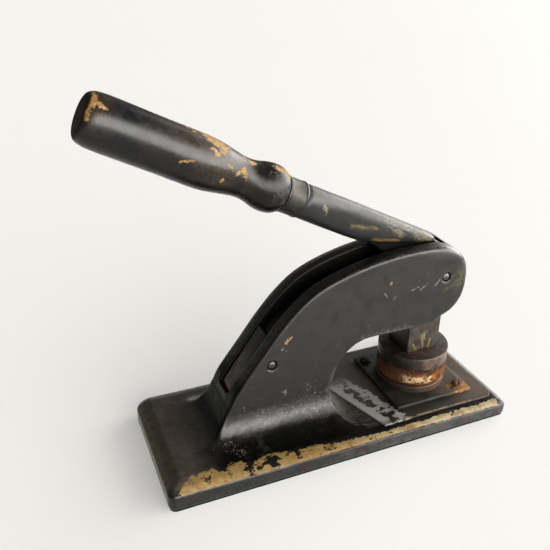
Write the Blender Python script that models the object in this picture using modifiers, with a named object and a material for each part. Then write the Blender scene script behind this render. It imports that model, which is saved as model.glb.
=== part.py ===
"""Desk embossing press (company seal press): cast frame, lever, ram and dies.

Blender Z is up, +X points to the nose of the frame, the underside is at Z = 0.
All driving dimensions are in millimetres and are turned into metres by MM.
"""
import math

import bmesh
import bpy
from mathutils import Matrix, Vector

MM = 0.001
GAP = 0.3                      # clearance between neighbouring pieces

# base casting
BASE_FRONT = 126.3             # reach of the base forward of the origin
BASE_REAR = 125.0
BASE_WIDTH = 102.0
BASE_BOTTOM = 1.5
BASE_CORNERS = {"rear_near": 5.0, "front_near": 4.5, "front_far": 5.0, "rear_far": 12.0}
SIDE_MID = 10.7                # height of the upright side at mid length
SIDE_SLOPE = -0.0126           # change of that height per mm along X
BED_TOP = 12.9                 # flat top forward of mid length
REAR_RISE = 4.6                # extra height of the top at the rear edge
CHAMFER_FRONT = 5.5
CHAMFER_REAR = 10.0

# machined pad under the die plate
PAD_TOP = 14.0
PAD_HALF_WIDTH = 42.5
PAD_FRONT = 119.0
PAD_LEFT_NEAR = 29.0
PAD_LEFT_FAR = 0.0

# arm of the frame
ARM_HALF = 18.5
ARM_ROUNDING = 2.2             # rounding of the long outer edges
SLOT_HALF = 8.0
SLOT_DEPTH = 24.0
SLOT_LOW = 42.3                # height of the lower end of the slot
BACK_CURVE = [(-78, 12), (-77.6, 26), (-75.8, 38), (-72.4, 47), (-66.3, 56), (-55.3, 70.6),
              (-43.3, 86.6), (-31.4, 100.2), (-19.4, 110.7), (-8.3, 117), (4.8, 121.8),
              (15.8, 124.8), (28, 127.3), (44, 129.4), (58, 129.9)]
NOSE_CURVE = [(58, 129.9), (70, 129.9), (79.6, 128.9), (87.6, 126.0), (94.2, 121.1), (98.7, 114.6),
              (100.6, 107.2), (101.0, 99.8), (100.4, 92.8), (98.5, 86.6), (95.1, 81.3), (90.1, 76.9),
              (82.9, 73.7)]
NOSE_ROUNDING = 4.2            # rounding of the outer edges round the nose
THROAT_CURVE = [(18, 13.1), (11.4, 13.7), (6.6, 15.5), (3.2, 18.8), (-0.4, 25), (-1.9, 32), (-1.2, 40),
                (1.6, 51), (7, 61), (13.5, 67), (20, 70), (28, 71.2), (40, 71), (56, 70.6),
                (72, 71.2), (84, 74.0)]

# flared foot of the arm
FOOT_TOP = 33.0
FOOT_FLARE_REAR = 24.0
FOOT_FLARE_SIDE = 21.5

# ram, head and dies
RAM_X = 74.3
RAM_HALF = 12.9
RAM_TOP = 92.0
HEAD_TOP = 46.0
HEAD_BOTTOM = 36.2
HEAD_RADIUS = 24.9
COUNTER_BOTTOM = 24.0
COUNTER_RADIUS = 25.4
DIE_TOP = 21.9
DIE_RADIUS = 25.4
PLATE_CENTRE_X = 75.7
PLATE_LENGTH = 61.6
PLATE_WIDTH = 65.4
PLATE_TOP = 17.0
SCREW_OFFSET = (24.6, 25.6)
SCREW_RADIUS = 4.2

# lever, handle and pins
PIVOT = (83.0, 106.0)
LINK_X = 73.5
LINK_Z = 107.0
LINK_RADIUS = 2.0
PIN_RADIUS = 2.9
SPRING_PIN = (-45.0, 67.0)
LEVER_ANGLE = math.radians(27.3)
AXIS_POINT = (-111.8, 218.1)   # a point on the centre line of the handle
LEVER_HALF = 7.5
LEVER_DEPTH = 11.2             # half height of the bar
WEB_HALF = 5.2                 # half width of the web that enters the slot
HANDLE_END = -34.4
HANDLE_NECK = 89.0
FERRULE_END = 103.0
TANG_RADIUS = 4.0
TANG_END = 30.0

COLLECTION = "embossing_press"


def clear_scene():
    for obj in list(bpy.data.objects):
        bpy.data.objects.remove(obj, do_unlink=True)
    for coll in list(bpy.data.collections):
        bpy.data.collections.remove(coll)


def make_collection(name):
    coll = bpy.data.collections.new(name)
    bpy.context.scene.collection.children.link(coll)
    return coll


clear_scene()
PARTS = make_collection(COLLECTION)
CUTTERS = make_collection("cutters")


def material(name, color, metallic, roughness):
    mat = bpy.data.materials.new(name)
    mat.use_nodes = True
    shader = mat.node_tree.nodes["Principled BSDF"]
    shader.inputs["Base Color"].default_value = (*color, 1.0)
    shader.inputs["Metallic"].default_value = metallic
    shader.inputs["Roughness"].default_value = roughness
    return mat


def add_object(name, mesh, mat=None, coll=None):
    obj = bpy.data.objects.new(name, mesh)
    (coll or PARTS).objects.link(obj)
    if mat is not None:
        mesh.materials.append(mat)
    return obj


def mesh_from(name, verts, faces):
    mesh = bpy.data.meshes.new(name)
    mesh.from_pydata([Vector(v) * MM for v in verts], [], faces)
    bm = bmesh.new()
    bm.from_mesh(mesh)
    bmesh.ops.recalc_face_normals(bm, faces=bm.faces)
    bm.to_mesh(mesh)
    bm.free()
    return mesh


def loft(name, rings):
    """Closed skin over rings with the same number of points, capped at both ends."""
    count = len(rings[0])
    verts = [p for ring in rings for p in ring]
    faces = []
    for level in range(len(rings) - 1):
        low = level * count
        high = low + count
        for i in range(count):
            j = (i + 1) % count
            faces.append((low + i, low + j, high + j, high + i))
    faces.append(tuple(range(count)))
    faces.append(tuple(range(len(verts) - count, len(verts))))
    return mesh_from(name, verts, faces)


def slab_xz(name, outline, half, centre_y=0.0):
    """Outline in the XZ plane carried from centre_y - half to centre_y + half."""
    rings = [[(x, centre_y + side * half, z) for x, z in outline] for side in (-1, 1)]
    return loft(name, rings)


def slab_xy(name, outline, low, high):
    """Outline in the XY plane carried from low to high in Z."""
    return loft(name, [[(x, y, z) for x, y in outline] for z in (low, high)])


def box(name, x0, x1, y0, y1, z0, z1):
    return slab_xy(name, [(x0, y0), (x1, y0), (x1, y1), (x0, y1)], z0, z1)


def circle(cx, cy, radius, count, start=0.0):
    points = []
    for i in range(count):
        a = start + 2 * math.pi * i / count
        points.append((cx + radius * math.cos(a), cy + radius * math.sin(a)))
    return points


def smooth_curve(points, steps):
    """Centripetal-like interpolation through the control points."""
    result = []
    last = len(points) - 1
    for i in range(last):
        p0 = points[max(i - 1, 0)]
        p1 = points[i]
        p2 = points[i + 1]
        p3 = points[min(i + 2, last)]
        for k in range(steps):
            t = k / steps
            result.append(tuple(catmull(p0[c], p1[c], p2[c], p3[c], t) for c in (0, 1)))
    result.append(tuple(points[-1]))
    return result


def catmull(a, b, c, d, t):
    return 0.5 * (2 * b + (c - a) * t + (2 * a - 5 * b + 4 * c - d) * t * t
                  + (3 * b - a - 3 * c + d) * t * t * t)


def arc(centre, radius, start, end, steps):
    points = []
    for i in range(steps + 1):
        a = math.radians(start + (end - start) * i / steps)
        points.append((centre[0] + radius * math.cos(a), centre[1] + radius * math.sin(a)))
    return points


def turned(name, profile, mat, segments, coll=None):
    """Turned piece about local Z; the profile is a list of (radius, height) in mm."""
    mesh = bpy.data.meshes.new(name)
    verts = [(r * MM, 0.0, z * MM) for r, z in profile]
    mesh.from_pydata(verts, [(i, i + 1) for i in range(len(verts) - 1)], [])
    obj = add_object(name, mesh, mat, coll)
    screw = obj.modifiers.new("turn", 'SCREW')
    screw.axis = 'Z'
    screw.steps = segments
    screw.render_steps = segments
    screw.use_merge_vertices = True
    screw.merge_threshold = 0.00001
    screw.use_normal_calculate = True
    screw.use_smooth_shade = True
    weld = obj.modifiers.new("close", 'WELD')
    weld.merge_threshold = 0.00001
    return obj


def rod_y(name, centre, radius, y0, y1, mat=None, coll=None, segments=32):
    outline = circle(centre[0], centre[1], radius, segments)
    rings = [[(x, y, z) for x, z in outline] for y in (y0, y1)]
    return add_object(name, loft(name, rings), mat, coll)


def combine(target, tool, operation):
    mod = target.modifiers.new(operation.lower() + "_" + tool.name, 'BOOLEAN')
    mod.operation = operation
    mod.solver = 'EXACT'
    mod.object = tool
    tool.hide_render = True
    tool.display_type = 'WIRE'
    return mod


def apply_mesh(obj):
    """Bake the modifiers of an object into its own mesh."""
    graph = bpy.context.evaluated_depsgraph_get()
    mesh = bpy.data.meshes.new_from_object(obj.evaluated_get(graph))
    obj.modifiers.clear()
    obj.data = mesh
    bm = bmesh.new()
    bm.from_mesh(mesh)
    bmesh.ops.remove_doubles(bm, verts=bm.verts, dist=0.00001)
    bmesh.ops.recalc_face_normals(bm, faces=bm.faces)
    bm.to_mesh(mesh)
    bm.free()
    return obj


def shade(obj, angle=35.0):
    """Smooth shading with the sharp corners kept."""
    mesh = obj.data
    for poly in mesh.polygons:
        poly.use_smooth = True
    bm = bmesh.new()
    bm.from_mesh(mesh)
    for edge in bm.edges:
        if len(edge.link_faces) == 2:
            edge.smooth = edge.calc_face_angle(0.0) < math.radians(angle)
    bm.to_mesh(mesh)
    bm.free()


IRON = material("japanned_iron", (0.012, 0.012, 0.013), 0.3, 0.32)
STEEL = material("dark_steel", (0.08, 0.075, 0.07), 0.9, 0.42)
PIN_STEEL = material("pin_steel", (0.42, 0.39, 0.37), 1.0, 0.35)
RUST = material("rusty_counter_die", (0.33, 0.13, 0.035), 0.0, 0.85)
BLACK_WOOD = material("black_painted_wood", (0.014, 0.012, 0.011), 0.0, 0.38)
BAIZE = material("green_baize", (0.015, 0.11, 0.07), 0.0, 0.95)
FERRULE = material("ferrule_steel", (0.10, 0.10, 0.10), 0.9, 0.35)
SPRING = material("spring_steel", (0.10, 0.07, 0.045), 0.8, 0.45)
SCREW_RUST = material("rusty_screw", (0.26, 0.09, 0.03), 0.3, 0.8)
SCREW_DARK = material("dark_screw", (0.05, 0.045, 0.04), 0.8, 0.5)


# ---------------------------------------------------------------- base block
def side_height(x):
    return SIDE_MID + SIDE_SLOPE * x


def top_height(x):
    return BED_TOP + REAR_RISE * max(0.0, -x) / BASE_REAR


def chamfer_width(x):
    share = max(0.0, min(1.0, (20.0 - x) / 110.0))
    return CHAMFER_FRONT + (CHAMFER_REAR - CHAMFER_FRONT) * share


def base_outline(inset, corner_steps=6, side_steps=20):
    """Rounded rectangle moved inward by inset(x); it starts and turns at X = 0."""
    reach = {1: BASE_FRONT, -1: BASE_REAR}
    half_y = BASE_WIDTH / 2
    corners = (("front_near", 1, -1, -90.0), ("front_far", 1, 1, 0.0),
               ("rear_far", -1, 1, 90.0), ("rear_near", -1, -1, 180.0))
    points = []
    for k, (label, sx, sy, start) in enumerate(corners):
        radius = BASE_CORNERS[label]
        if sy < 0 and sx > 0:
            points.extend(straight_side(0.0, BASE_FRONT - radius, -half_y, -1.0, side_steps // 2))
        if sy > 0 and sx < 0:
            before = BASE_FRONT - BASE_CORNERS["front_far"]
            points.extend(straight_side(before, 0.0, half_y, 1.0, side_steps // 2)[1:])
            points.extend(straight_side(0.0, radius - BASE_REAR, half_y, 1.0, side_steps // 2))
        for i in range(corner_steps + 1):
            a = math.radians(start + 90.0 * i / corner_steps)
            nx = math.cos(a)
            ny = math.sin(a)
            points.append((sx * (reach[sx] - radius) + radius * nx,
                           sy * (half_y - radius) + radius * ny, nx, ny))
    low = BASE_CORNERS["rear_near"] - BASE_REAR
    points.extend(straight_side(low, 0.0, -half_y, -1.0, side_steps // 2)[1:])
    return [(x - nx * inset(x), y - ny * inset(x)) for x, y, nx, ny in points]


def straight_side(x0, x1, y, ny, steps):
    """Points from x0 up to but not including x1 along a long side."""
    return [(x0 + (x1 - x0) * i / steps, y, 0.0, ny) for i in range(steps)]


def base_block():
    flat = base_outline(lambda x: 0.0)
    foot = base_outline(lambda x: 0.6)
    shoulder = base_outline(lambda x: 0.42 * chamfer_width(x))
    inner = base_outline(chamfer_width)
    rings = [
        [(x, y, BASE_BOTTOM) for x, y in foot],
        [(x, y, BASE_BOTTOM + 0.6) for x, y in flat],
        [(x, y, side_height(x) - 0.5) for x, y in flat],
        [(x * 0.9976, y * 0.9942, side_height(x)) for x, y in flat],
        [(x, y, side_height(x) + 0.60 * (top_height(x) - side_height(x))) for x, y in shoulder],
        [(x, y, top_height(x)) for x, y in inner],
    ]
    count = len(flat)
    verts = [p for ring in rings for p in ring]
    faces = [tuple(range(count))]
    for level in range(len(rings) - 1):
        low = level * count
        for i in range(count):
            j = (i + 1) % count
            faces.append((low + i, low + j, low + count + j, low + count + i))
    top = (len(rings) - 1) * count
    turn = max(i for i in range(count) if abs(flat[i][0]) < 1e-6)
    faces.append(tuple(top + i for i in range(turn + 1)))
    faces.append(tuple([top + i for i in range(turn, count)] + [top]))
    return add_object("base_block", mesh_from("base_block", verts, faces), IRON, CUTTERS)


# --------------------------------------------------------- flared foot of arm
def foot_outline(rear, half, front, corner, steps=8, side_steps=12):
    points = []
    for i in range(steps + 1):
        a = math.pi / 2 * i / steps
        points.append((rear + corner * (1 - math.cos(a)), -half + corner * (1 - math.sin(a))))
    start = rear + corner
    for i in range(1, side_steps + 1):
        points.append((start + (front - start) * i / side_steps, -half))
    return points + [(x, -y) for x, y in reversed(points)]


def back_at(z):
    """X of the back of the arm at height z."""
    for (x0, z0), (x1, z1) in zip(BACK_CURVE, BACK_CURVE[1:]):
        if z0 <= z <= z1:
            return x0 + (x1 - x0) * (z - z0) / (z1 - z0)
    return BACK_CURVE[0][0]


def flared_foot():
    rings = []
    rear = back_at(14.0) - FOOT_FLARE_REAR
    outline = foot_outline(rear, ARM_HALF + FOOT_FLARE_SIDE, 34.0, 20.0)
    rings.append([(x, y, 9.0) for x, y in outline])
    levels = 14
    for k in range(levels + 1):
        v = 1.0 - math.cos(math.pi / 2 * k / levels)
        spread = 1.0 - math.sqrt(max(0.0, 1.0 - (1.0 - v) ** 2))
        rear = back_at(14.0 + v * (FOOT_TOP - 14.0)) + 0.2 - FOOT_FLARE_REAR * spread
        outline = foot_outline(rear, ARM_HALF - 0.1 + FOOT_FLARE_SIDE * spread, 34.0,
                               1.8 + 11.0 * spread ** 1.4)
        ring = []
        for x, y in outline:
            low = top_height(x) + 0.12
            ring.append((x, y, low + v * (FOOT_TOP - low)))
        rings.append(ring)
    return add_object("flared_foot", loft("flared_foot", rings), IRON, CUTTERS)


# ------------------------------------------------------------- arm of frame
def rounded_slab_xz(name, outline, half, rounding, steps=3):
    """Slab whose two outlines are drawn in along quarter-round edges."""
    closed = [Vector(p) for p in outline]
    count = len(closed)
    inward = []
    for i in range(count):
        before = (closed[i] - closed[i - 1]).normalized()
        after = (closed[(i + 1) % count] - closed[i]).normalized()
        first = Vector((before.y, -before.x))
        second = Vector((after.y, -after.x))
        mean = first + second
        inward.append(mean / max(0.4, 0.5 * mean.length_squared))
    rings = []
    for side in (-1, 1):
        group = []
        for k in range(steps + 1):
            a = math.pi / 2 * k / steps
            ring = []
            for p, w in zip(closed, inward):
                size = rounding(p.x)
                depth = size * (1.0 - math.sin(a))
                y = side * (half - size * (1.0 - math.cos(a)))
                ring.append((p.x + depth * w.x, y, p.y + depth * w.y))
            group.append(ring)
        rings.extend(group if side < 0 else reversed(group))
    return loft(name, rings)


def edge_rounding(x):
    share = max(0.0, min(1.0, (x - 56.0) / 30.0))
    share = share * share * (3.0 - 2.0 * share)
    return ARM_ROUNDING + (NOSE_ROUNDING - ARM_ROUNDING) * share


def arm_slab():
    outline = smooth_curve(BACK_CURVE, 3)[:-1] + smooth_curve(NOSE_CURVE, 3) + [(6.0, 12.0)]
    mesh = rounded_slab_xz("arm_slab", outline, ARM_HALF, edge_rounding)
    return add_object("arm_slab", mesh, IRON, CUTTERS)


def throat_cutter():
    curve = smooth_curve(THROAT_CURVE, 4)
    outline = curve + [(130.0, 58.0), (130.0, 13.1)]
    return add_object("throat_cutter", slab_xz("throat_cutter", outline, 60.0), None, CUTTERS)


def slot_cutter():
    """Slot along the back of the arm for the spring and the lever."""
    path = [p for p in smooth_curve(BACK_CURVE, 4) if p[1] > SLOT_LOW and p[0] < 50.0]
    outer = []
    inner = []
    for i, (x, z) in enumerate(path):
        a = path[max(i - 1, 0)]
        b = path[min(i + 1, len(path) - 1)]
        tangent = Vector((b[0] - a[0], b[1] - a[1])).normalized()
        normal = Vector((-tangent.y, tangent.x))
        outer.append((x + 8 * normal.x, z + 8 * normal.y))
        depth = SLOT_DEPTH * min(1.0, 0.55 + i * 0.09)
        inner.append((x - depth * normal.x, z - depth * normal.y))
    front = [(84.6, 140.0), (84.9, 127.5), (91.0, 118.5), (94.0, 112.0), (94.0, 95.6), (60.0, 95.6)]
    outline = outer + front + list(reversed(inner))
    return add_object("slot_cutter", slab_xz("slot_cutter", outline, SLOT_HALF), None, CUTTERS)


def machined_pad():
    outline = [(PAD_LEFT_NEAR, -PAD_HALF_WIDTH), (PAD_FRONT - 3, -PAD_HALF_WIDTH),
               (PAD_FRONT, -PAD_HALF_WIDTH + 3), (PAD_FRONT, PAD_HALF_WIDTH - 3),
               (PAD_FRONT - 3, PAD_HALF_WIDTH), (PAD_LEFT_FAR, PAD_HALF_WIDTH)]
    return add_object("machined_pad", slab_xy("machined_pad", outline, 9.0, PAD_TOP), IRON, CUTTERS)


def frame_casting():
    body = base_block()
    foot = flared_foot()
    arm = arm_slab()
    throat = throat_cutter()
    combine(body, foot, 'UNION')
    combine(body, arm, 'UNION')
    combine(body, throat, 'DIFFERENCE')
    pad = machined_pad()
    combine(body, pad, 'UNION')
    slot = slot_cutter()
    combine(body, slot, 'DIFFERENCE')
    bore = add_object("ram_bore", box("ram_bore", RAM_X - RAM_HALF - GAP, RAM_X + RAM_HALF + GAP,
                                      -RAM_HALF - GAP, RAM_HALF + GAP, 60.0, 96.4), None, CUTTERS)
    combine(body, bore, 'DIFFERENCE')
    for label, centre in (("pivot_hole", PIVOT), ("spring_hole", SPRING_PIN)):
        hole = rod_y(label, centre, PIN_RADIUS + GAP, -30.0, 30.0, None, CUTTERS)
        combine(body, hole, 'DIFFERENCE')
    for label, sx in (("screw_hole_rear", -1), ("screw_hole_front", 1)):
        x = PLATE_CENTRE_X + sx * SCREW_OFFSET[0]
        y = -sx * SCREW_OFFSET[1]
        mesh = slab_xy(label, circle(x, y, 2.5 + GAP, 24), 6.0, 20.0)
        combine(body, add_object(label, mesh, None, CUTTERS), 'DIFFERENCE')
    apply_mesh(body)
    body.name = "frame_casting"
    body.data.name = "frame_casting"
    CUTTERS.objects.unlink(body)
    PARTS.objects.link(body)
    shade(body)
    return body


frame_casting()


# ----------------------------------------------------------- baize under base
def baize_pad():
    outline = base_outline(lambda x: 0.9, 6, 4)
    obj = add_object("baize_pad", slab_xy("baize_pad", outline, 0.0, BASE_BOTTOM - GAP), BAIZE)
    return obj


baize_pad()


# ------------------------------------------------------------ plate and dies
def die_plate():
    half_x = PLATE_LENGTH / 2
    half_y = PLATE_WIDTH / 2
    edge = 0.8
    rings = []
    for z, inset in ((PAD_TOP + GAP, 0.0), (PLATE_TOP - edge, 0.0), (PLATE_TOP, edge)):
        rings.append([(PLATE_CENTRE_X + sx * (half_x - inset), sy * (half_y - inset), z)
                      for sx, sy in ((-1, -1), (1, -1), (1, 1), (-1, 1))])
    plate = add_object("die_plate", loft("die_plate", rings), STEEL)
    for sx in (-1, 1):
        x = PLATE_CENTRE_X + sx * SCREW_OFFSET[0]
        y = -sx * SCREW_OFFSET[1]
        mesh = slab_xy("plate_hole", circle(x, y, 2.5 + GAP, 24), 6.0, 20.0)
        combine(plate, add_object("plate_hole_" + str(sx + 1), mesh, None, CUTTERS), 'DIFFERENCE')
    apply_mesh(plate)
    return plate


die_plate()


def plate_screw(name, sx, mat, slot_angle):
    """Cheese-head screw; its origin is on its own centre line at the plate top."""
    head_low = PLATE_TOP + GAP - PLATE_TOP
    profile = [(0.0, 2.6), (SCREW_RADIUS * 0.55, 2.45), (SCREW_RADIUS * 0.85, 2.1),
               (SCREW_RADIUS, 1.5), (SCREW_RADIUS, head_low), (2.5, head_low), (2.5, -9.0), (0.0, -9.0)]
    obj = turned(name, profile, mat, 32)
    width = 0.55
    slot = add_object(name + "_slot", box(name + "_slot", -6, 6, -width, width, 1.6, 4), None, CUTTERS)
    slot.rotation_euler = (0, 0, slot_angle)
    x = (PLATE_CENTRE_X + sx * SCREW_OFFSET[0]) * MM
    y = -sx * SCREW_OFFSET[1] * MM
    slot.location = (x, y, PLATE_TOP * MM)
    obj.location = (x, y, PLATE_TOP * MM)
    combine(obj, slot, 'DIFFERENCE')
    bpy.context.view_layer.update()
    apply_mesh(obj)
    shade(obj)
    return obj


plate_screw("plate_screw_rear", -1, SCREW_DARK, 0.5)
plate_screw("plate_screw_front", 1, SCREW_RUST, 0.9)


def disc(name, radius, low, high, edge, mat, origin_z):
    profile = [(0.0, high), (radius - edge, high), (radius, high - edge), (radius, low + edge),
               (radius - edge, low), (0.0, low)]
    profile = [(r, z - origin_z) for r, z in profile]
    obj = turned(name, profile, mat, 64)
    obj.location = (RAM_X * MM, 0.0, origin_z * MM)
    apply_mesh(obj)
    shade(obj)
    return obj


disc("lower_die", DIE_RADIUS, PLATE_TOP + GAP, DIE_TOP, 0.5, STEEL, PLATE_TOP + GAP)
ram_head = disc("ram_head", HEAD_RADIUS, HEAD_BOTTOM, HEAD_TOP, 0.5, STEEL, HEAD_BOTTOM)
counter_die = disc("counter_die", COUNTER_RADIUS, COUNTER_BOTTOM, HEAD_BOTTOM - GAP, 0.6, RUST,
                   COUNTER_BOTTOM)


# ------------------------------------------------------------------ ram
def square_ram():
    low = HEAD_TOP + GAP
    edge = 0.8
    outline = []
    for sx, sy in ((-1, -1), (1, -1), (1, 1), (-1, 1)):
        first = (sx * (RAM_HALF - edge), sy * RAM_HALF)
        second = (sx * RAM_HALF, sy * (RAM_HALF - edge))
        pair = (second, first) if sx * sy > 0 else (first, second)
        outline.extend((RAM_X + px, py) for px, py in pair)
    bar = add_object("ram", slab_xy("ram", outline, low, RAM_TOP), STEEL)
    lug_outline = [(LINK_X - 4.4, RAM_TOP - 2)] + arc((LINK_X, LINK_Z), 4.4, 180.0, 0.0, 16)
    lug_outline.append((LINK_X + 4.4, RAM_TOP - 2))
    lug = add_object("ram_lug", slab_xz("ram_lug", lug_outline, 2.5), STEEL, CUTTERS)
    combine(bar, lug, 'UNION')
    hole_outline = (arc((LINK_X - 0.6, LINK_Z), LINK_RADIUS + GAP, 90.0, 270.0, 12)
                    + arc((LINK_X + 0.6, LINK_Z), LINK_RADIUS + GAP, -90.0, 90.0, 12))
    hole = add_object("ram_link_hole", slab_xz("ram_link_hole", hole_outline, 6.0), None, CUTTERS)
    combine(bar, hole, 'DIFFERENCE')
    apply_mesh(bar)
    return bar


ram = square_ram()

# ------------------------------------------------------------------ pins
rod_y("lever_pivot_pin", PIVOT, PIN_RADIUS, -ARM_HALF + 0.2, ARM_HALF - 0.2, PIN_STEEL)
rod_y("spring_pin", SPRING_PIN, PIN_RADIUS, -ARM_HALF + 0.2, ARM_HALF - 0.2, PIN_STEEL)
link_pin = rod_y("ram_link_pin", (LINK_X, LINK_Z), LINK_RADIUS, -WEB_HALF, WEB_HALF, PIN_STEEL, None,
                 24)

# ------------------------------------------------------- lever and handle
ALONG = Vector((math.cos(LEVER_ANGLE), -math.sin(LEVER_ANGLE)))
ACROSS = Vector((math.sin(LEVER_ANGLE), math.cos(LEVER_ANGLE)))


def on_axis(s, n=0.0):
    """Point s mm along the handle centre line and n mm above it, as (x, z)."""
    return (AXIS_POINT[0] + s * ALONG.x + n * ACROSS.x, AXIS_POINT[1] + s * ALONG.y + n * ACROSS.y)


def section(s, half_width, low, high, power, count=32):
    """Superellipse section square to the centre line, from low to high above it."""
    ring = []
    for i in range(count):
        a = 2 * math.pi * (i + 0.5) / count
        c = math.cos(a)
        d = math.sin(a)
        y = half_width * math.copysign(abs(c) ** (2 / power), c)
        n = (high - low) / 2 * math.copysign(abs(d) ** (2 / power), d)
        x, z = on_axis(s, (low + high) / 2 + n)
        ring.append((x, y, z))
    return ring


def lever():
    deep = LEVER_DEPTH
    stations = ((FERRULE_END + GAP, 10.4, -10.4, 10.4, 2.0), (105.5, 11.0, -11.0, 11.0, 2.0),
                (114.0, 10.4, -11.1, 11.0, 2.2), (128.0, 8.8, -11.2, 11.1, 2.5),
                (144.0, LEVER_HALF, -deep, deep, 2.8), (156.0, LEVER_HALF, -10.9, deep, 2.9),
                (168.0, LEVER_HALF, -7.6, deep, 2.9), (183.0, LEVER_HALF, -2.6, deep, 2.9),
                (199.0, LEVER_HALF, 3.2, deep, 2.9), (204.0, 7.4, 5.0, 11.1, 2.7),
                (208.0, 6.4, 6.2, 10.8, 2.4), (210.5, 4.4, 7.2, 10.2, 2.0))
    bar = add_object("lever", loft("lever", [section(*item) for item in stations]), IRON)
    web = [on_axis(158.0, 2.0), on_axis(199.0, 8.5), on_axis(208.5, 8.4), (84.0, 126.2), (88.6, 117.5)]
    web += arc(PIVOT, 9.0, 25.0, -125.0, 14)
    web += [on_axis(211.0, -11.0), on_axis(196.0, -11.4), on_axis(176.0, -11.4), on_axis(160.0, -8.8)]
    block = add_object("lever_web", slab_xz("lever_web", web, WEB_HALF), IRON, CUTTERS)
    combine(bar, block, 'UNION')
    outline = circle(0.0, 0.0, TANG_RADIUS, 24)
    rings = []
    for s in (TANG_END + 2.0, FERRULE_END + 4.0):
        ring = []
        for y, n in outline:
            x, z = on_axis(s, n)
            ring.append((x, y, z))
        rings.append(ring)
    tang = add_object("lever_tang", loft("lever_tang", rings), IRON, CUTTERS)
    combine(bar, tang, 'UNION')
    fork = add_object("lever_fork", box("lever_fork", LINK_X - 6.0, LINK_X + 5.0, -2.8, 2.8, 90.0,
                                        LINK_Z + 6.2), None, CUTTERS)
    combine(bar, fork, 'DIFFERENCE')
    hole = rod_y("lever_pivot_hole", PIVOT, PIN_RADIUS + GAP, -12.0, 12.0, None, CUTTERS)
    combine(bar, hole, 'DIFFERENCE')
    link_hole = rod_y("lever_link_hole", (LINK_X, LINK_Z), LINK_RADIUS + GAP, -12.0, 12.0, None,
                      CUTTERS, 24)
    combine(bar, link_hole, 'DIFFERENCE')
    apply_mesh(bar)
    shade(bar)
    return bar


lever_obj = lever()


def along_axis(obj):
    """Stand a turned piece on the handle centre line, its +Z toward the lever."""
    x, z = AXIS_POINT
    turn = Matrix.Rotation(math.pi / 2 + LEVER_ANGLE, 4, 'Y')
    obj.matrix_world = Matrix.Translation((x * MM, 0.0, z * MM)) @ turn
    return obj


HANDLE_PROFILE = [(0.0, HANDLE_NECK + 12.6), (4.4, HANDLE_NECK + 12.6), (9.4, HANDLE_NECK + 12.6),
                  (9.4, HANDLE_NECK + 0.05), (11.4, HANDLE_NECK + 0.05), (12.4, 88.2), (13.6, 86.2),
                  (14.5, 83.2), (14.8, 79.8), (14.5, 76.2), (13.7, 72.4), (12.6, 68.6), (12.0, 65.0),
                  (11.9, 61.5), (12.3, 57.0), (13.2, 51.5), (14.3, 45.5), (15.0, 39.5), (15.3, 33.0),
                  (15.2, 24.0), (15.0, 12.0), (15.0, -2.0), (15.0, -14.0), (14.9, -22.0),
                  (14.6, -27.4), (14.0, -30.4), (13.0, -32.5), (11.4, -33.8), (8.6, HANDLE_END),
                  (0.0, HANDLE_END - 0.2)]


def handle():
    outer = HANDLE_PROFILE[2:]
    bore = [(0.0, TANG_END), (TANG_RADIUS + GAP, TANG_END), (TANG_RADIUS + GAP, HANDLE_NECK + 12.6)]
    profile = bore + outer
    obj = turned("handle", profile, BLACK_WOOD, 48)
    along_axis(obj)
    apply_mesh(obj)
    shade(obj)
    return obj


handle_obj = handle()


def ferrule():
    low = HANDLE_NECK + GAP + 0.05
    high = FERRULE_END
    inner = 9.4 + GAP
    lip = TANG_RADIUS + GAP
    wall_end = HANDLE_NECK + 12.6 + GAP
    profile = [(inner, low), (11.3, low), (11.8, low + 0.5), (11.8, low + 2.2), (11.3, low + 2.8),
               (11.1, high - 3.0), (11.6, high - 2.4), (11.6, high - 0.5), (11.1, high),
               (lip, high), (lip, wall_end), (inner, wall_end), (inner, low)]
    obj = turned("ferrule", profile, FERRULE, 48)
    along_axis(obj)
    apply_mesh(obj)
    shade(obj)
    return obj


ferrule_obj = ferrule()


# --------------------------------------------------------- spring and block
def offset_strip(path, thickness):
    upper = []
    lower = []
    for i, (x, z) in enumerate(path):
        a = path[max(i - 1, 0)]
        b = path[min(i + 1, len(path) - 1)]
        tangent = Vector((b[0] - a[0], b[1] - a[1])).normalized()
        upper.append((x - tangent.y * thickness / 2, z + tangent.x * thickness / 2))
        lower.append((x + tangent.y * thickness / 2, z - tangent.x * thickness / 2))
    return upper + list(reversed(lower))


BLOCK_LOW = (-71.0, 46.0)
BLOCK_HIGH = (-44.6, 83.6)
BLOCK_DEPTH = 15.0
STRIP_THICKNESS = 1.8
SPRING_PATH = [(-47.5, 73.5), (-38.0, 84.0), (-27.0, 92.8), (-14.0, 99.6), (2.0, 105.2),
               (18.0, 109.8), (32.0, 115.0), (42.0, 120.6), (47.5, 121.9)]


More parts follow.
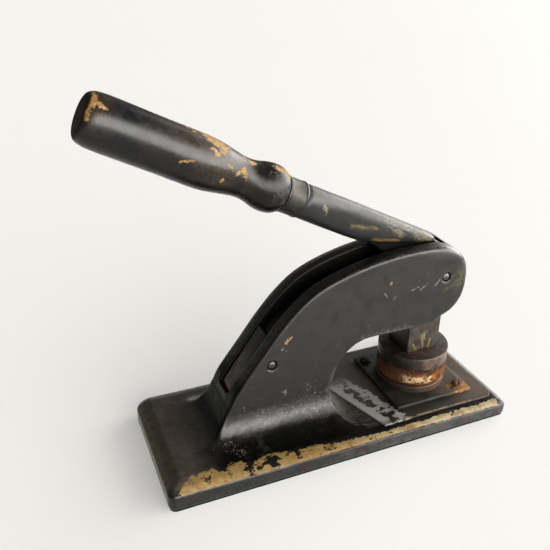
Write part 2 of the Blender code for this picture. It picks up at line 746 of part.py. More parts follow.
def spring_block():
    low = Vector(BLOCK_LOW)
    high = Vector(BLOCK_HIGH)
    along = (high - low).normalized()
    inward = Vector((along.y, -along.x))
    end_centre = low + inward * 5.0 + along * 5.0
    outline = []
    for k in range(9):
        a = math.pi / 2 * k / 8
        outline.append(end_centre - inward * 5.0 * math.sin(a) - along * 5.0 * math.cos(a))
    outline.append(high)
    outline.append(high + inward * BLOCK_DEPTH)
    outline.append(low + inward * BLOCK_DEPTH + along * 2.0)
    outline.append(low + inward * (BLOCK_DEPTH - 3.0))
    points = [(p.x, p.y) for p in outline]
    obj = add_object("spring_block", slab_xz("spring_block", points, SLOT_HALF - 0.9), SPRING)
    hole = rod_y("block_hole", SPRING_PIN, PIN_RADIUS + GAP, -12.0, 12.0, None, CUTTERS)
    combine(obj, hole, 'DIFFERENCE')
    strip = offset_strip(smooth_curve(SPRING_PATH, 3), STRIP_THICKNESS + 2 * GAP)
    slit = add_object("block_slit", slab_xz("block_slit", strip, 10.0), None, CUTTERS)
    combine(obj, slit, 'DIFFERENCE')
    apply_mesh(obj)
    shade(obj)
    return obj


spring_block()


def leaf_spring():
    strip = offset_strip(smooth_curve(SPRING_PATH, 3), STRIP_THICKNESS)
    obj = add_object("leaf_spring", slab_xz("leaf_spring", strip, 6.0), SPRING)
    shade(obj)
    return obj


leaf_spring()


# ------------------------------------------------------ origins on the joints
def move_origin(obj, point):
    """Put the origin of an object at a world point in mm without moving its shape."""
    bpy.context.view_layer.update()
    target = Matrix.Translation(Vector(point) * MM)
    obj.data.transform(target.inverted() @ obj.matrix_world)
    obj.matrix_world = target


for piece in (lever_obj, handle_obj, ferrule_obj, link_pin):
    move_origin(piece, (PIVOT[0], 0.0, PIVOT[1]))
for piece in (ram, ram_head, counter_die):
    move_origin(piece, (RAM_X, 0.0, COUNTER_BOTTOM))
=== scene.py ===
"""Looks of the desk embossing press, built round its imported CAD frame.

Shapes are written in millimetres in the frame of the part (+X to the nose, +Z up) and turned into
metres by MM. Every shape keeps its own coordinates in that frame, so a material can place wear by
its object coordinates.
"""

import math

import bmesh
import bpy
import numpy as np
from mathutils import Matrix, Vector


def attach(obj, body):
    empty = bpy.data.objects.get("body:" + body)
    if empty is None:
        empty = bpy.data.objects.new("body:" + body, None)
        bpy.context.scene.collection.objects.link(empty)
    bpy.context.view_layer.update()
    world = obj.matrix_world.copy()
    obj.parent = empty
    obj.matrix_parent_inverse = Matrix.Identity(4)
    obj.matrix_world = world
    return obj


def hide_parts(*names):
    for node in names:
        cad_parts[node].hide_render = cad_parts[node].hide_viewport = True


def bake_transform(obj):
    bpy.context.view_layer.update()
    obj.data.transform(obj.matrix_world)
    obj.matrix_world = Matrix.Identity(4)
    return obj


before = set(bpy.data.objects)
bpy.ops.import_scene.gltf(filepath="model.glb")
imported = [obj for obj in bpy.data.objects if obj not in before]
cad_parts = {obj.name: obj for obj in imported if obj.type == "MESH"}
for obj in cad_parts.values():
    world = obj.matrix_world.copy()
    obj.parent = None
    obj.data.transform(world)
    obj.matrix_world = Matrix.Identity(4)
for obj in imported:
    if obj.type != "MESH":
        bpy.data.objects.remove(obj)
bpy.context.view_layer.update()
MM = 0.001


# ------------------------------------------------------------------ mesh helpers
def mesh_object(name, verts, faces):
    mesh = bpy.data.meshes.new(name)
    mesh.from_pydata([Vector(v) * MM for v in verts], [], faces)
    bm = bmesh.new()
    bm.from_mesh(mesh)
    bmesh.ops.recalc_face_normals(bm, faces=bm.faces)
    bm.to_mesh(mesh)
    bm.free()
    obj = bpy.data.objects.new(name, mesh)
    bpy.context.scene.collection.objects.link(obj)
    return obj


def walls(levels, count, closed=False):
    """Faces between rings of count points; a closed skin runs back to its first ring."""
    faces = []
    for level in range(levels if closed else levels - 1):
        low, up = level * count, (level + 1) % levels * count
        for i in range(count):
            j = (i + 1) % count
            faces.append((low + i, low + j, up + j, up + i))
    return faces


def loft(name, rings, closed=False):
    """Skin over rings with the same number of points, capped at both ends unless closed."""
    count = len(rings[0])
    verts = [p for ring in rings for p in ring]
    faces = walls(len(rings), count, closed)
    if not closed:
        faces.append(tuple(range(count)))
        faces.append(tuple(range(len(verts) - count, len(verts))))
    return mesh_object(name, verts, faces)


def slab_xz(name, outline, half):
    return loft(name, [[(x, side * half, z) for x, z in outline] for side in (-1, 1)])


def slab_xy(name, outline, low, high):
    return loft(name, [[(x, y, z) for x, y in outline] for z in (low, high)])


def rectangle(x0, x1, y0, y1):
    return [(x0, y0), (x1, y0), (x1, y1), (x0, y1)]


def circle(cx, cy, radius, count):
    return [(cx + radius * math.cos(2 * math.pi * i / count),
             cy + radius * math.sin(2 * math.pi * i / count)) for i in range(count)]


def arc(centre, radius, start, end, steps):
    angles = [math.radians(start + (end - start) * i / steps) for i in range(steps + 1)]
    return [(centre[0] + radius * math.cos(a), centre[1] + radius * math.sin(a)) for a in angles]


def smooth_curve(points, steps):
    """Catmull-Rom curve through the points."""
    result = []
    last = len(points) - 1
    for i in range(last):
        near = list(zip(points[max(i - 1, 0)], points[i], points[i + 1], points[min(i + 2, last)]))
        for k in range(steps):
            t = k / steps
            result.append(tuple(0.5 * (2 * b + (c - a) * t + (2 * a - 5 * b + 4 * c - d) * t * t
                                       + (3 * b - a - 3 * c + d) * t ** 3) for a, b, c, d in near))
    result.append(tuple(points[-1]))
    return result


def tangents(path):
    """Unit directions of an open path at its points."""
    neighbours = zip(path[:1] + path[:-1], path[1:] + path[-1:])
    return [Vector((b[0] - a[0], b[1] - a[1])).normalized() for a, b in neighbours]


def turned(name, profile, segments, place, closed=False):
    """Turned piece about local Z, put in its place by a matrix in millimetres."""
    rings = []
    for r, z in profile:
        ring = []
        for i in range(segments):
            a = 2 * math.pi * i / segments
            ring.append(tuple(place @ Vector((r * math.cos(a), r * math.sin(a), z))))
        rings.append(ring)
    return loft(name, rings, closed)


def boolean(target, operation, *tools):
    for tool in tools:
        mod = target.modifiers.new(operation, 'BOOLEAN')
        mod.operation = operation
        mod.solver = 'EXACT'
        mod.object = tool
        tool.hide_render = True


def settle(obj, *tools):
    """Bake the modifiers of a piece into its mesh and drop the tools it was cut with."""
    bpy.context.view_layer.update()
    graph = bpy.context.evaluated_depsgraph_get()
    mesh = bpy.data.meshes.new_from_object(obj.evaluated_get(graph))
    obj.modifiers.clear()
    obj.data = mesh
    for tool in tools:
        bpy.data.objects.remove(tool)
    return obj


def remesh(obj, voxel, smoothing, most_triangles):
    """Turn a cut solid into one even skin with the soft edges of a casting."""
    mod = obj.modifiers.new("skin", 'REMESH')
    mod.mode = 'VOXEL'
    mod.voxel_size = voxel * MM
    smooth = obj.modifiers.new("soften", 'SMOOTH')
    smooth.factor = 0.5
    smooth.iterations = smoothing
    settle(obj)
    triangles = 2 * len(obj.data.polygons)
    if triangles > most_triangles:
        thin = obj.modifiers.new("thin", 'DECIMATE')
        thin.ratio = most_triangles / triangles
        settle(obj)
    return obj


def bevel(obj, width, segments=2, angle=30.0):
    mod = obj.modifiers.new("bevel", 'BEVEL')
    mod.width = width * MM
    mod.segments = segments
    mod.limit_method = 'ANGLE'
    mod.angle_limit = math.radians(angle)


def smooth(obj):
    obj.data.polygons.foreach_set("use_smooth", [True] * len(obj.data.polygons))
    return obj


def shade(obj, angle=35.0):
    """Smooth shading with sharp edges where the skin turns by more than the angle."""
    mesh = smooth(obj).data
    bm = bmesh.new()
    bm.from_mesh(mesh)
    for edge in bm.edges:
        if len(edge.link_faces) == 2:
            edge.smooth = edge.calc_face_angle(0.0) < math.radians(angle)
    bm.to_mesh(mesh)
    bm.free()
    return obj


def vertex_array(obj):
    co = np.empty(len(obj.data.vertices) * 3, np.float32)
    obj.data.vertices.foreach_get("co", co)
    return co.reshape(-1, 3).astype(float) / MM


def vertex_normals(obj):
    normals = np.empty(len(obj.data.vertices) * 3, np.float32)
    obj.data.vertex_normals.foreach_get("vector", normals)
    return normals.reshape(-1, 3)


def move_vertices(obj, co):
    obj.data.vertices.foreach_set("co", (co * MM).astype(np.float32).ravel())
    obj.data.update()


def store(obj, name, values):
    attribute = obj.data.attributes.new(name, 'FLOAT', 'POINT')
    attribute.data.foreach_set("value", np.asarray(values, np.float32))


def store_edges(obj, low=0.12, high=0.75):
    """Keep where the skin is sharply convex, from its curvature in 1/mm."""
    mesh = obj.data
    co = vertex_array(obj)
    normals = vertex_normals(obj).astype(float)
    ends = np.empty(len(mesh.edges) * 2, np.int32)
    mesh.edges.foreach_get("vertices", ends)
    a, b = ends.reshape(-1, 2).T
    along = co[b] - co[a]
    bend = ((normals[b] - normals[a]) * along).sum(1) / np.maximum((along ** 2).sum(1), 1e-6)
    highest = np.full(len(co), -9.0)
    lowest = np.full(len(co), 9.0)
    for end in (a, b):
        np.maximum.at(highest, end, bend)
        np.minimum.at(lowest, end, bend)
    store(obj, "edge", np.clip((highest - low) / (high - low), 0, 1) * (lowest > -0.3))


# ------------------------------------------------------------------ sizes of the press
BASE_FRONT, BASE_REAR, BASE_WIDTH, BASE_BOTTOM = 126.3, 125.0, 102.0, 1.5
BASE_CORNERS = {"front_near": 4.5, "front_far": 5.0, "rear_far": 12.0, "rear_near": 5.0}
BED_TOP, REAR_RISE = 12.9, 4.6
CHAMFER_FRONT, CHAMFER_REAR = 5.5, 10.0
ARM_HALF, ARM_ROUNDING, NOSE_ROUNDING = 18.5, 2.2, 4.2
SLOT_HALF, SLOT_DEPTH, SLOT_LOW = 8.0, 24.0, 45.5
BACK_CURVE = [(-78, 12), (-77.6, 26), (-75.8, 38), (-72.4, 47), (-66.3, 56), (-55.3, 70.6),
              (-43.3, 86.6), (-31.4, 100.2), (-19.4, 110.7), (-8.3, 117), (4.8, 121.8),
              (15.8, 124.8), (28, 127.3), (44, 129.4), (58, 129.9)]
NOSE_CURVE = [(58, 129.9), (70, 129.9), (79.6, 128.9), (87.6, 126.0), (94.2, 121.1), (98.7, 114.6),
              (100.6, 107.2), (101.0, 99.8), (100.4, 92.8), (98.5, 86.6), (95.1, 81.3),
              (90.1, 76.9), (82.9, 73.7)]
THROAT_CURVE = [(18, 13.1), (11.4, 13.7), (6.6, 15.5), (3.2, 18.8), (-0.4, 25), (-1.9, 32),
                (-1.2, 40), (1.6, 51), (7, 61), (13.5, 67), (20, 70), (28, 71.2), (40, 71),
                (56, 70.6), (72, 71.2), (84, 74.0)]
FOOT_TOP, FOOT_TOP_REAR, FOOT_FLARE_REAR, FOOT_FLARE_SIDE = 37.5, 46.0, 24.0, 21.5
PIVOT, SPRING_PIN, LINK_PIN, PIN_RADIUS = (83.0, 106.0), (-45.0, 67.0), (73.5, 107.0), 2.9
LEVER_ANGLE = math.radians(27.3)
AXIS_POINT = (-111.8, 218.1)
ALONG = (math.cos(LEVER_ANGLE), -math.sin(LEVER_ANGLE))
ACROSS = (math.sin(LEVER_ANGLE), math.cos(LEVER_ANGLE))
AXIS_START = [AXIS_POINT[0] * axis[0] + AXIS_POINT[1] * axis[1] for axis in (ALONG, ACROSS)]
RAM_X, RAM_HALF = 74.3, 12.9
HEAD_LOW, HEAD_HIGH, HEAD_RADIUS = 36.2, 46.0, 25.3
PLATE_X, PLATE_TOP, PLATE_LOW = 75.7, 17.0, 14.3
PLATE_HALF = (30.8, 32.7)
SCREW_OFFSET = (24.6, 25.6)
PAD_TOP = 14.0
PAD_EDGE = ((29.0, -42.5), (0.0, 42.5))    # slanted left edge of the machined pad, near to far


# ------------------------------------------------------------------ frame casting
def side_height(x):
    return 10.7 - 0.0126 * x


def top_height(x):
    return BED_TOP + REAR_RISE * max(0.0, -x) / BASE_REAR


def chamfer_width(x):
    share = max(0.0, min(1.0, (20.0 - x) / 110.0))
    return CHAMFER_FRONT + (CHAMFER_REAR - CHAMFER_FRONT) * share


def base_outline(inset):
    """Rounded rectangle moved inward by inset(x); it passes through X = 0 on both long sides."""
    reach = {1: BASE_FRONT, -1: BASE_REAR}
    half_y = BASE_WIDTH / 2
    corners = (("front_near", 1, -1, -90.0), ("front_far", 1, 1, 0.0),
               ("rear_far", -1, 1, 90.0), ("rear_near", -1, -1, 180.0))
    points = []
    for label, sx, sy, start in corners:
        depth = inset(sx * reach[sx])
        radius = max(BASE_CORNERS[label] - depth, 0.8)
        centre = (sx * (reach[sx] - depth - radius), sy * (half_y - depth - radius))
        corner = arc(centre, radius, start, start + 90.0, 10)
        if sy > 0 and sx < 0:
            points += long_side(points[-1][0], corner[0][0], inset, half_y)
        elif points:
            (x, first), last = points[-1], corner[0][1]
            points += [(x, first + (last - first) * k / 10) for k in range(1, 10)]
        points += corner
    return points + long_side(points[-1][0], points[0][0], inset, -half_y)


def long_side(start, end, inset, y):
    """Points between two corners of a long side, with one at X = 0."""
    xs = [start * (1 - k / 14) for k in range(1, 15)] + [end * k / 14 for k in range(1, 14)]
    return [(x, y - math.copysign(inset(x), y)) for x in xs]


def base_block():
    flat = base_outline(lambda x: 0.0)
    shoulder = base_outline(lambda x: 0.42 * chamfer_width(x))
    inner = base_outline(chamfer_width)
    rings = [
        [(x, y, BASE_BOTTOM) for x, y in base_outline(lambda x: 0.6)],
        [(x, y, BASE_BOTTOM + 0.6) for x, y in flat],
        [(x, y, side_height(x) - 0.5) for x, y in flat],
        [(x, y, side_height(x)) for x, y in base_outline(lambda x: 0.3)],
        [(x, y, side_height(x) + 0.60 * (top_height(x) - side_height(x))) for x, y in shoulder],
        [(x, y, top_height(x)) for x, y in inner],
    ]
    count = len(flat)
    verts = [p for ring in rings for p in ring]
    faces = [tuple(range(count))] + walls(len(rings), count)
    top = len(verts) - count
    far, near = [i for i, p in enumerate(inner) if abs(p[0]) < 1e-6]
    faces.append(tuple(top + i for i in range(far, near + 1)))
    faces.append(tuple([top + i for i in range(near, count)] + [top + i for i in range(far + 1)]))
    return mesh_object("base_block", verts, faces)


def back_at(z):
    """X of the back of the arm at height z."""
    for (x0, z0), (x1, z1) in zip(BACK_CURVE, BACK_CURVE[1:]):
        if z0 <= z <= z1:
            return x0 + (x1 - x0) * (z - z0) / (z1 - z0)
    return BACK_CURVE[0][0]


def foot_outline(rear, half, front, corner):
    points = []
    for i in range(17):
        a = math.pi / 2 * i / 16
        points.append((rear + corner * (1 - math.cos(a)), -half + corner * (1 - math.sin(a))))
    start = rear + corner
    points.extend((start + (front - start) * i / 24, -half) for i in range(1, 25))
    return points + [(x, -y) for x, y in reversed(points)]


def flare(z, top, power):
    """Share of the flare at height z: 1 on the bed and 0 from the top up."""
    fall = 1.0 - min(1.0, max(0.0, (z - 14.0) / (top - 14.0)))
    return 1.0 - (1.0 - fall ** power) ** (1.0 / power)


def flared_foot():
    outline = foot_outline(back_at(14.0) - FOOT_FLARE_REAR, ARM_HALF + FOOT_FLARE_SIDE, 34.0, 20.0)
    rings = [[(x, y, 9.0) for x, y in outline]]
    for k in range(49):
        v = 1.0 - math.cos(math.pi / 2 * k / 48)
        level = 14.0 + v * (FOOT_TOP_REAR - 14.0)
        side = flare(level, FOOT_TOP, 2.0)
        rear = back_at(level) + 0.2 - FOOT_FLARE_REAR * flare(level, FOOT_TOP_REAR, 1.85)
        outline = foot_outline(rear, ARM_HALF - 0.1 + FOOT_FLARE_SIDE * side, 34.0,
                               1.8 + 11.0 * side ** 1.4)
        rings.append([(x, y, top_height(x) + 0.12 + v * (FOOT_TOP_REAR - top_height(x) - 0.12))
                      for x, y in outline])
    return loft("flared_foot", rings)


def edge_rounding(x):
    share = max(0.0, min(1.0, (x - 56.0) / 30.0))
    share = share * share * (3.0 - 2.0 * share)
    return ARM_ROUNDING + (NOSE_ROUNDING - ARM_ROUNDING) * share


def arm_slab():
    """Arm outline carried across, with quarter-round outer edges."""
    outline = smooth_curve(BACK_CURVE, 8)[:-1] + smooth_curve(NOSE_CURVE, 8) + [(6.0, 12.0)]
    closed = [Vector(p) for p in outline]
    inward = []
    for i, p in enumerate(closed):
        before = (p - closed[i - 1]).normalized()
        after = (closed[(i + 1) % len(closed)] - p).normalized()
        mean = Vector((before.y + after.y, -before.x - after.x))
        inward.append(mean / max(0.4, 0.5 * mean.length_squared))
    rings = []
    for side in (-1, 1):
        group = []
        for k in range(7):
            a = math.pi / 2 * k / 6
            ring = []
            for p, w in zip(closed, inward):
                depth = edge_rounding(p.x) * (1.0 - math.sin(a))
                y = side * (ARM_HALF - edge_rounding(p.x) * (1.0 - math.cos(a)))
                ring.append((p.x + depth * w.x, y, p.y + depth * w.y))
            group.append(ring)
        rings.extend(group if side < 0 else reversed(group))
    return loft("arm_slab", rings)


def slot_cutter():
    """Slot along the back of the arm for the spring and the lever."""
    path = [p for p in smooth_curve(BACK_CURVE, 8) if p[1] > SLOT_LOW and p[0] < 50.0]
    outer, inner = [], []
    for i, ((x, z), tangent) in enumerate(zip(path, tangents(path))):
        depth = SLOT_DEPTH * min(1.0, 0.55 + i * 0.045)
        outer.append((x - 8 * tangent.y, z + 8 * tangent.x))
        inner.append((x + depth * tangent.y, z - depth * tangent.x))
    front = [(84.6, 140.0), (84.9, 127.5), (91.0, 118.5), (94.0, 112.0), (94.0, 95.6), (60.0, 95.6)]
    return slab_xz("slot_cutter", outer + front + list(reversed(inner)), SLOT_HALF)


def throat_at(z):
    """X of the throat's lower curve at height z."""
    low = [(z0, x0) for x0, z0 in THROAT_CURVE[:8]]
    return np.interp(z, [p[0] for p in low], [p[1] for p in low])


def frame_casting():
    body = base_block()
    body.name = "frame_casting_skin"
    tools = [flared_foot(), arm_slab()]
    boolean(body, 'UNION', *tools)
    throat = slab_xz("throat", smooth_curve(THROAT_CURVE, 8) + [(130.0, 58.0), (130.0, 13.1)], 60.0)
    half = RAM_HALF + 0.3
    bore = slab_xy("ram_bore", rectangle(RAM_X - half, RAM_X + half, -half, half), 60.0, 96.4)
    cutters = [throat, slot_cutter(), bore]
    for centre in (PIVOT, SPRING_PIN):
        cutters.append(slab_xz("pin_hole", circle(*centre, PIN_RADIUS + 0.45, 32), 30.0))
    boolean(body, 'DIFFERENCE', *cutters)
    settle(body, *tools, *cutters)
    remesh(body, 0.85, 2, 194000)
    x, y, z = vertex_array(body).T
    inside = (x > throat_at(z) - 1.0) & (z < 40.0) & (z > 12.98) & (x < 32.0) & (np.abs(y) < 41.0)
    store(body, "throat", inside)
    store_edges(body)
    return smooth(body)


# ------------------------------------------------------------------ material helpers
class Value:
    """A number in a node tree that takes + - * / with numbers and other values."""

    def __init__(self, nodes, socket):
        self.nodes, self.socket = nodes, socket

    def __add__(self, other):
        return self.nodes.math('ADD', self, other)

    def __sub__(self, other):
        return self.nodes.math('SUBTRACT', self, other)

    def __rsub__(self, other):
        return self.nodes.math('SUBTRACT', other, self)

    def __mul__(self, other):
        return self.nodes.math('MULTIPLY', self, other)

    def __truediv__(self, other):
        return self.nodes.math('DIVIDE', self, other)


class Nodes:
    """Short calls for the nodes of a tree."""

    def __init__(self, tree):
        self.tree = tree

    def add(self, kind, **settings):
        node = self.tree.nodes.new(kind)
        for key, value in settings.items():
            setattr(node, key, value)
        return node

    def put(self, *pairs):
        """Link or set values: sockets and values in turn."""
        for socket, value in zip(pairs[::2], pairs[1::2]):
            if isinstance(value, Value):
                value = value.socket
            if isinstance(value, bpy.types.NodeSocket):
                self.tree.links.new(value, socket)
            else:
                socket.default_value = value

    def vector(self, operation, a, b=None, scale=None):
        node = self.add('ShaderNodeVectorMath', operation=operation)
        self.put(node.inputs[0], a)
        if b is not None:
            self.put(node.inputs[1], b)
        if scale is not None:
            self.put(node.inputs["Scale"], scale)
        if operation in ('LENGTH', 'DOT_PRODUCT'):
            return Value(self, node.outputs["Value"])
        return node.outputs["Vector"]

    def math(self, operation, a, b=0.0, clamp=False):
        node = self.add('ShaderNodeMath', operation=operation, use_clamp=clamp)
        self.put(node.inputs[0], a, node.inputs[1], b)
        return Value(self, node.outputs[0])

    def split(self, vector):
        node = self.add('ShaderNodeSeparateXYZ')
        self.put(node.inputs[0], vector)
        return [Value(self, output) for output in node.outputs]

    def ramp(self, value, low, high, start=0.0, end=1.0):
        """Smooth step of a value from start at low to end at high."""
        node = self.add('ShaderNodeMapRange', interpolation_type='SMOOTHSTEP')
        for key, item in enumerate((value, low, high, start, end)):
            self.put(node.inputs[key], item)
        return Value(self, node.outputs[0])

    def most(self, *masks):
        result = masks[0]
        for mask in masks[1:]:
            result = self.math('MAXIMUM', result, mask)
        return result


class Look(Nodes):
    """A Principled material that builds up its color; positions are in millimetres."""

    def __init__(self, name, **fixed):
        self.material = bpy.data.materials.new(name)
        self.material.use_nodes = True
        super().__init__(self.material.node_tree)
        self.set_inputs(fixed)
        coordinates = self.add('ShaderNodeTexCoord')
        self.mm = self.vector('SCALE', coordinates.outputs["Object"], scale=1000.0)
        self.facing = coordinates.outputs["Normal"]

    def set_inputs(self, values):
        inputs = self.tree.nodes["Principled BSDF"].inputs
        for key, value in values.items():
            self.put(inputs[key.replace("_", " ")], value)

    def xyz(self):
        return self.split(self.mm)

    def noise(self, size, detail=4.0, rough=0.55, stretch=(1, 1, 1), shift=0.0, at=None):
        """Noise with features of about size mm, from 0 to 1."""
        at = self.vector('MULTIPLY', at or self.mm, tuple(s / size for s in stretch))
        if shift:
            at = self.vector('ADD', at, (shift, shift * 0.7, -shift * 1.3))
        node = self.add('ShaderNodeTexNoise')
        self.put(node.inputs["Vector"], at, node.inputs["Scale"], 1.0,
                 node.inputs["Detail"], detail, node.inputs["Roughness"], rough)
        return Value(self, node.outputs["Fac"])

    def specks(self, spacing, radius, share, shift=0.0):
        """Sparse ragged dots: one per cell of spacing mm, kept in a share of the cells."""
        at = self.vector('SCALE', self.mm, scale=1.0 / spacing)
        at = self.vector('ADD', at, (shift, shift, shift))
        node = self.add('ShaderNodeTexVoronoi')
        tint = self.add('ShaderNodeSeparateColor')
        self.put(node.inputs["Vector"], at, node.inputs["Scale"], 1.0,
                 tint.inputs[0], node.outputs["Color"])
        kept = self.ramp(tint.outputs[0], share, share * 0.9)
        reach = Value(self, tint.outputs[1]) * (radius / spacing)
        dot = self.ramp(Value(self, node.outputs["Distance"]) - reach, 0.03, -0.05)
        return dot * kept

    def mix(self, mask, a, b):
        """Colour a where the mask is 0 and b where it is 1."""
        node = self.add('ShaderNodeMix', data_type='RGBA')
        a, b = (v if isinstance(v, bpy.types.NodeSocket) else (*v, 1.0) for v in (a, b))
        self.put(node.inputs["Factor"], mask, node.inputs[6], a, node.inputs[7], b)
        return node.outputs[2]

    def coat(self, mask, tint):
        """Lay a tint over the color so far."""
        self.color = self.mix(mask, self.color, tint)

    def blend(self, mask, a, b):
        """Number a where the mask is 0 and b where it is 1."""
        node = self.add('ShaderNodeMix', data_type='FLOAT')
        self.put(node.inputs[0], mask, node.inputs[2], a, node.inputs[3], b)
        return Value(self, node.outputs[0])

    def stroke(self, start, end, radius, ragged, amount=1.0, soft=0.22):
        """Worn stroke from start to end, its rim broken up by the ragged noise."""
        first = Vector(start)
        span = Vector(end) - first
        offset = self.vector('SUBTRACT', self.mm, tuple(first))
        if span.length > 1e-6:
            unit = span / span.length_squared
            share = self.math('ADD', self.vector('DOT_PRODUCT', offset, tuple(unit)), 0.0,
                              clamp=True)
            offset = self.vector('SUBTRACT', offset, self.vector('SCALE', tuple(span), scale=share))
        painted_light_rim = self.vector('LENGTH', offset) * (1.0 / radius) + ragged * (amount * 4.0)
        return self.ramp(painted_light_rim, 0.8 + amount * 2.0 + soft, 0.8 + amount * 2.0 - soft)

    def strokes(self, *rows):
        return self.most(*(self.stroke(*row) for row in rows))

    def faces(self, direction, low, high):
        """1 where the skin faces a direction, from the cosines low to high."""
        return self.ramp(self.vector('DOT_PRODUCT', self.facing, direction), low, high)

    def along_handle(self):
        """Position as (along the handle, across it, sideways)."""
        node = self.add('ShaderNodeCombineXYZ')
        for socket, axis in zip(node.inputs, (ALONG, ACROSS)):
            self.put(socket, self.vector('DOT_PRODUCT', self.mm, (axis[0], 0.0, axis[1])))
        self.put(node.inputs[2], self.xyz()[1])
        return node.outputs[0]

    def attribute(self, name):
        return Value(self, self.add('ShaderNodeAttribute', attribute_name=name).outputs["Fac"])

    def finish(self, rough, height=None, bump=1.0, **others):
        self.set_inputs({"Base_Color": self.color, "Roughness": rough, **others})
        if height is not None:
            node = self.add('ShaderNodeBump')
            self.put(node.inputs["Strength"], bump, node.inputs["Distance"], MM,
                     node.inputs["Height"], height)
            self.set_inputs({"Normal": node.outputs["Normal"]})
        return self.material


# colours, linear
BLACK = (0.0029, 0.0026, 0.0026)
WARM_BLACK = (0.0050, 0.0038, 0.0030)
GREY_WEAR = (0.045, 0.043, 0.040)
DUST = (0.16, 0.15, 0.13)
GILT = (0.140, 0.088, 0.027)
GILT_PALE = (0.220, 0.178, 0.105)
IRON_GREY = (0.250, 0.238, 0.225)


def gilt_band(g, middle, fine, flake):
    """Where the gilt is left on the near chamfer, and its color."""
    x, y, z = g.xyz()
    width = g.ramp(x, 20, -90, CHAMFER_FRONT, CHAMFER_REAR)
    across = (y + BASE_WIDTH / 2) / width
    forward = g.ramp(x, -30, 60)
    sag = g.noise(26, 3, 0.6, (1, 0.2, 0.2), 6.6)
    jag = ((flake - 0.5) * 1.3 + (sag - 0.5) * 1.7) * g.blend(forward, 1, 0.6)
    limit = g.blend(g.ramp(x, 96, 114), g.blend(forward, 1.04, 0.82), 1.06)
    inside = g.ramp(across + jag - limit, 0.03, -0.03)
    rise = z + x * 0.0126 + (fine - 0.5) * g.blend(forward, 0.5, 2.6) - g.blend(forward, 0, 0.5)
    above = g.ramp(rise, 10.72, 10.92)
    mitre = x - (y + BASE_WIDTH / 2)
    ends = g.ramp(mitre, -120.4, -119.6) * g.ramp(x, 119.6, 118.4)
    spots = g.noise(6.5, 6, 0.64, (0.8, 1, 1), 8.1) + across * 0.1
    kept = g.ramp(spots + g.ramp(x, 30, -60, -0.02, 0.025), 0.65, 0.63)
    dents = g.noise(2.6, 4, 0.62, (0.7, 1, 1), 13)
    kept = kept * g.ramp(dents + across * 0.06, 0.67, 0.65)
    pinholes = g.ramp(g.noise(1.7, 3, 0.6, shift=5.5), 0.69, 0.66)
    gilt = inside * above * ends * kept * pinholes
    gold = g.mix(g.ramp(x, -40, 85), GILT, GILT_PALE)
    gold = g.mix(g.ramp(middle, 0.42, 0.68), gold, (0.11, 0.064, 0.02))
    # painted highlight: lighter warm flecks near the lower arris, on the rear part of the band
    arris_glints = g.ramp(across, 0.55, 0.15) * g.ramp(flake, 0.45, 0.6) * g.ramp(x, 60, -10)
    gold = g.mix(arris_glints * 0.6, gold, (0.23, 0.145, 0.055))
    gold = g.mix(g.ramp(fine, 0.56, 0.76) * 0.45, gold, (0.085, 0.07, 0.048))
    return gilt, gold


def cheek_wear(g, y, fine, flake):
    """Chips and rubs on the near cheek of the arm."""
    side = g.ramp(y, -14, -17)
    orange = g.strokes(((-36, -18.5, 82.4), (-31.8, -18.5, 85.6), 0.8, fine, 1),
                       ((-34.6, -18.5, 85.2), (-35.2, -18.5, 81), 0.8, fine, 1),
                       ((38.6, -18.5, 109.6), (39.4, -18.5, 111.2), 1, fine, 0.8))
    g.coat(orange * side, (0.15, 0.088, 0.034))
    olive = g.strokes(((93.5, -18, 99.5), (95.5, -18, 111), 4.6, flake, 1.2, 0.9),
                      ((83, -18.5, 96.6), (93, -18.5, 100.5), 1.6, fine, 1.2, 0.8))
    g.coat(olive * side * g.ramp(fine, 0.3, 0.62) * 0.75, (0.052, 0.045, 0.021))
    pale = g.strokes(((56, -18.5, 101.6), (60.4, -18.5, 103.4), 0.8, fine, 1.4),
                     ((62.5, -18.5, 101), (68, -18.5, 104.6), 0.6, fine, 1.4),
                     ((74.2, -18.5, 102), (77, -18.5, 105), 0.8, fine, 1.4),
                     ((41.5, -18.5, 97.5), (43.5, -18.5, 99.8), 0.6, fine, 1),
                     ((34.4, -18.5, 103.6), (36.6, -18.5, 101), 0.6, fine, 1.4),
                     ((-37.4, -18.5, 78.6), (-38.2, -18.5, 77.8), 0.9, fine, 0.9),
                     ((-36.8, -18.9, 44.6), (-35.4, -18.9, 43), 1.2, fine, 1.4))
    flaky = (g.stroke((22, -18.5, 72.4), (57, -18.5, 72), 2.6, flake, 1, 0.8)
             * g.ramp(g.noise(1.5, 4, 0.68, (0.6, 1, 1), 15), 0.5, 0.58))
    g.coat(g.most(pale, flaky) * side * 0.65, (0.09, 0.086, 0.07))
    rub = g.strokes(((62, -18, 128.6), (88, -18, 122.6), 2.6, flake, 0.8, 1.2),
                    ((-4, -18.5, 36), (0.5, -18.5, 52), 2, flake, 1.2, 0.8),
                    ((26, -18.5, 72.5), (60, -18.5, 72.2), 1.3, flake, 1.5, 0.8))
    g.coat(rub * side * 0.7, (0.03, 0.029, 0.027))


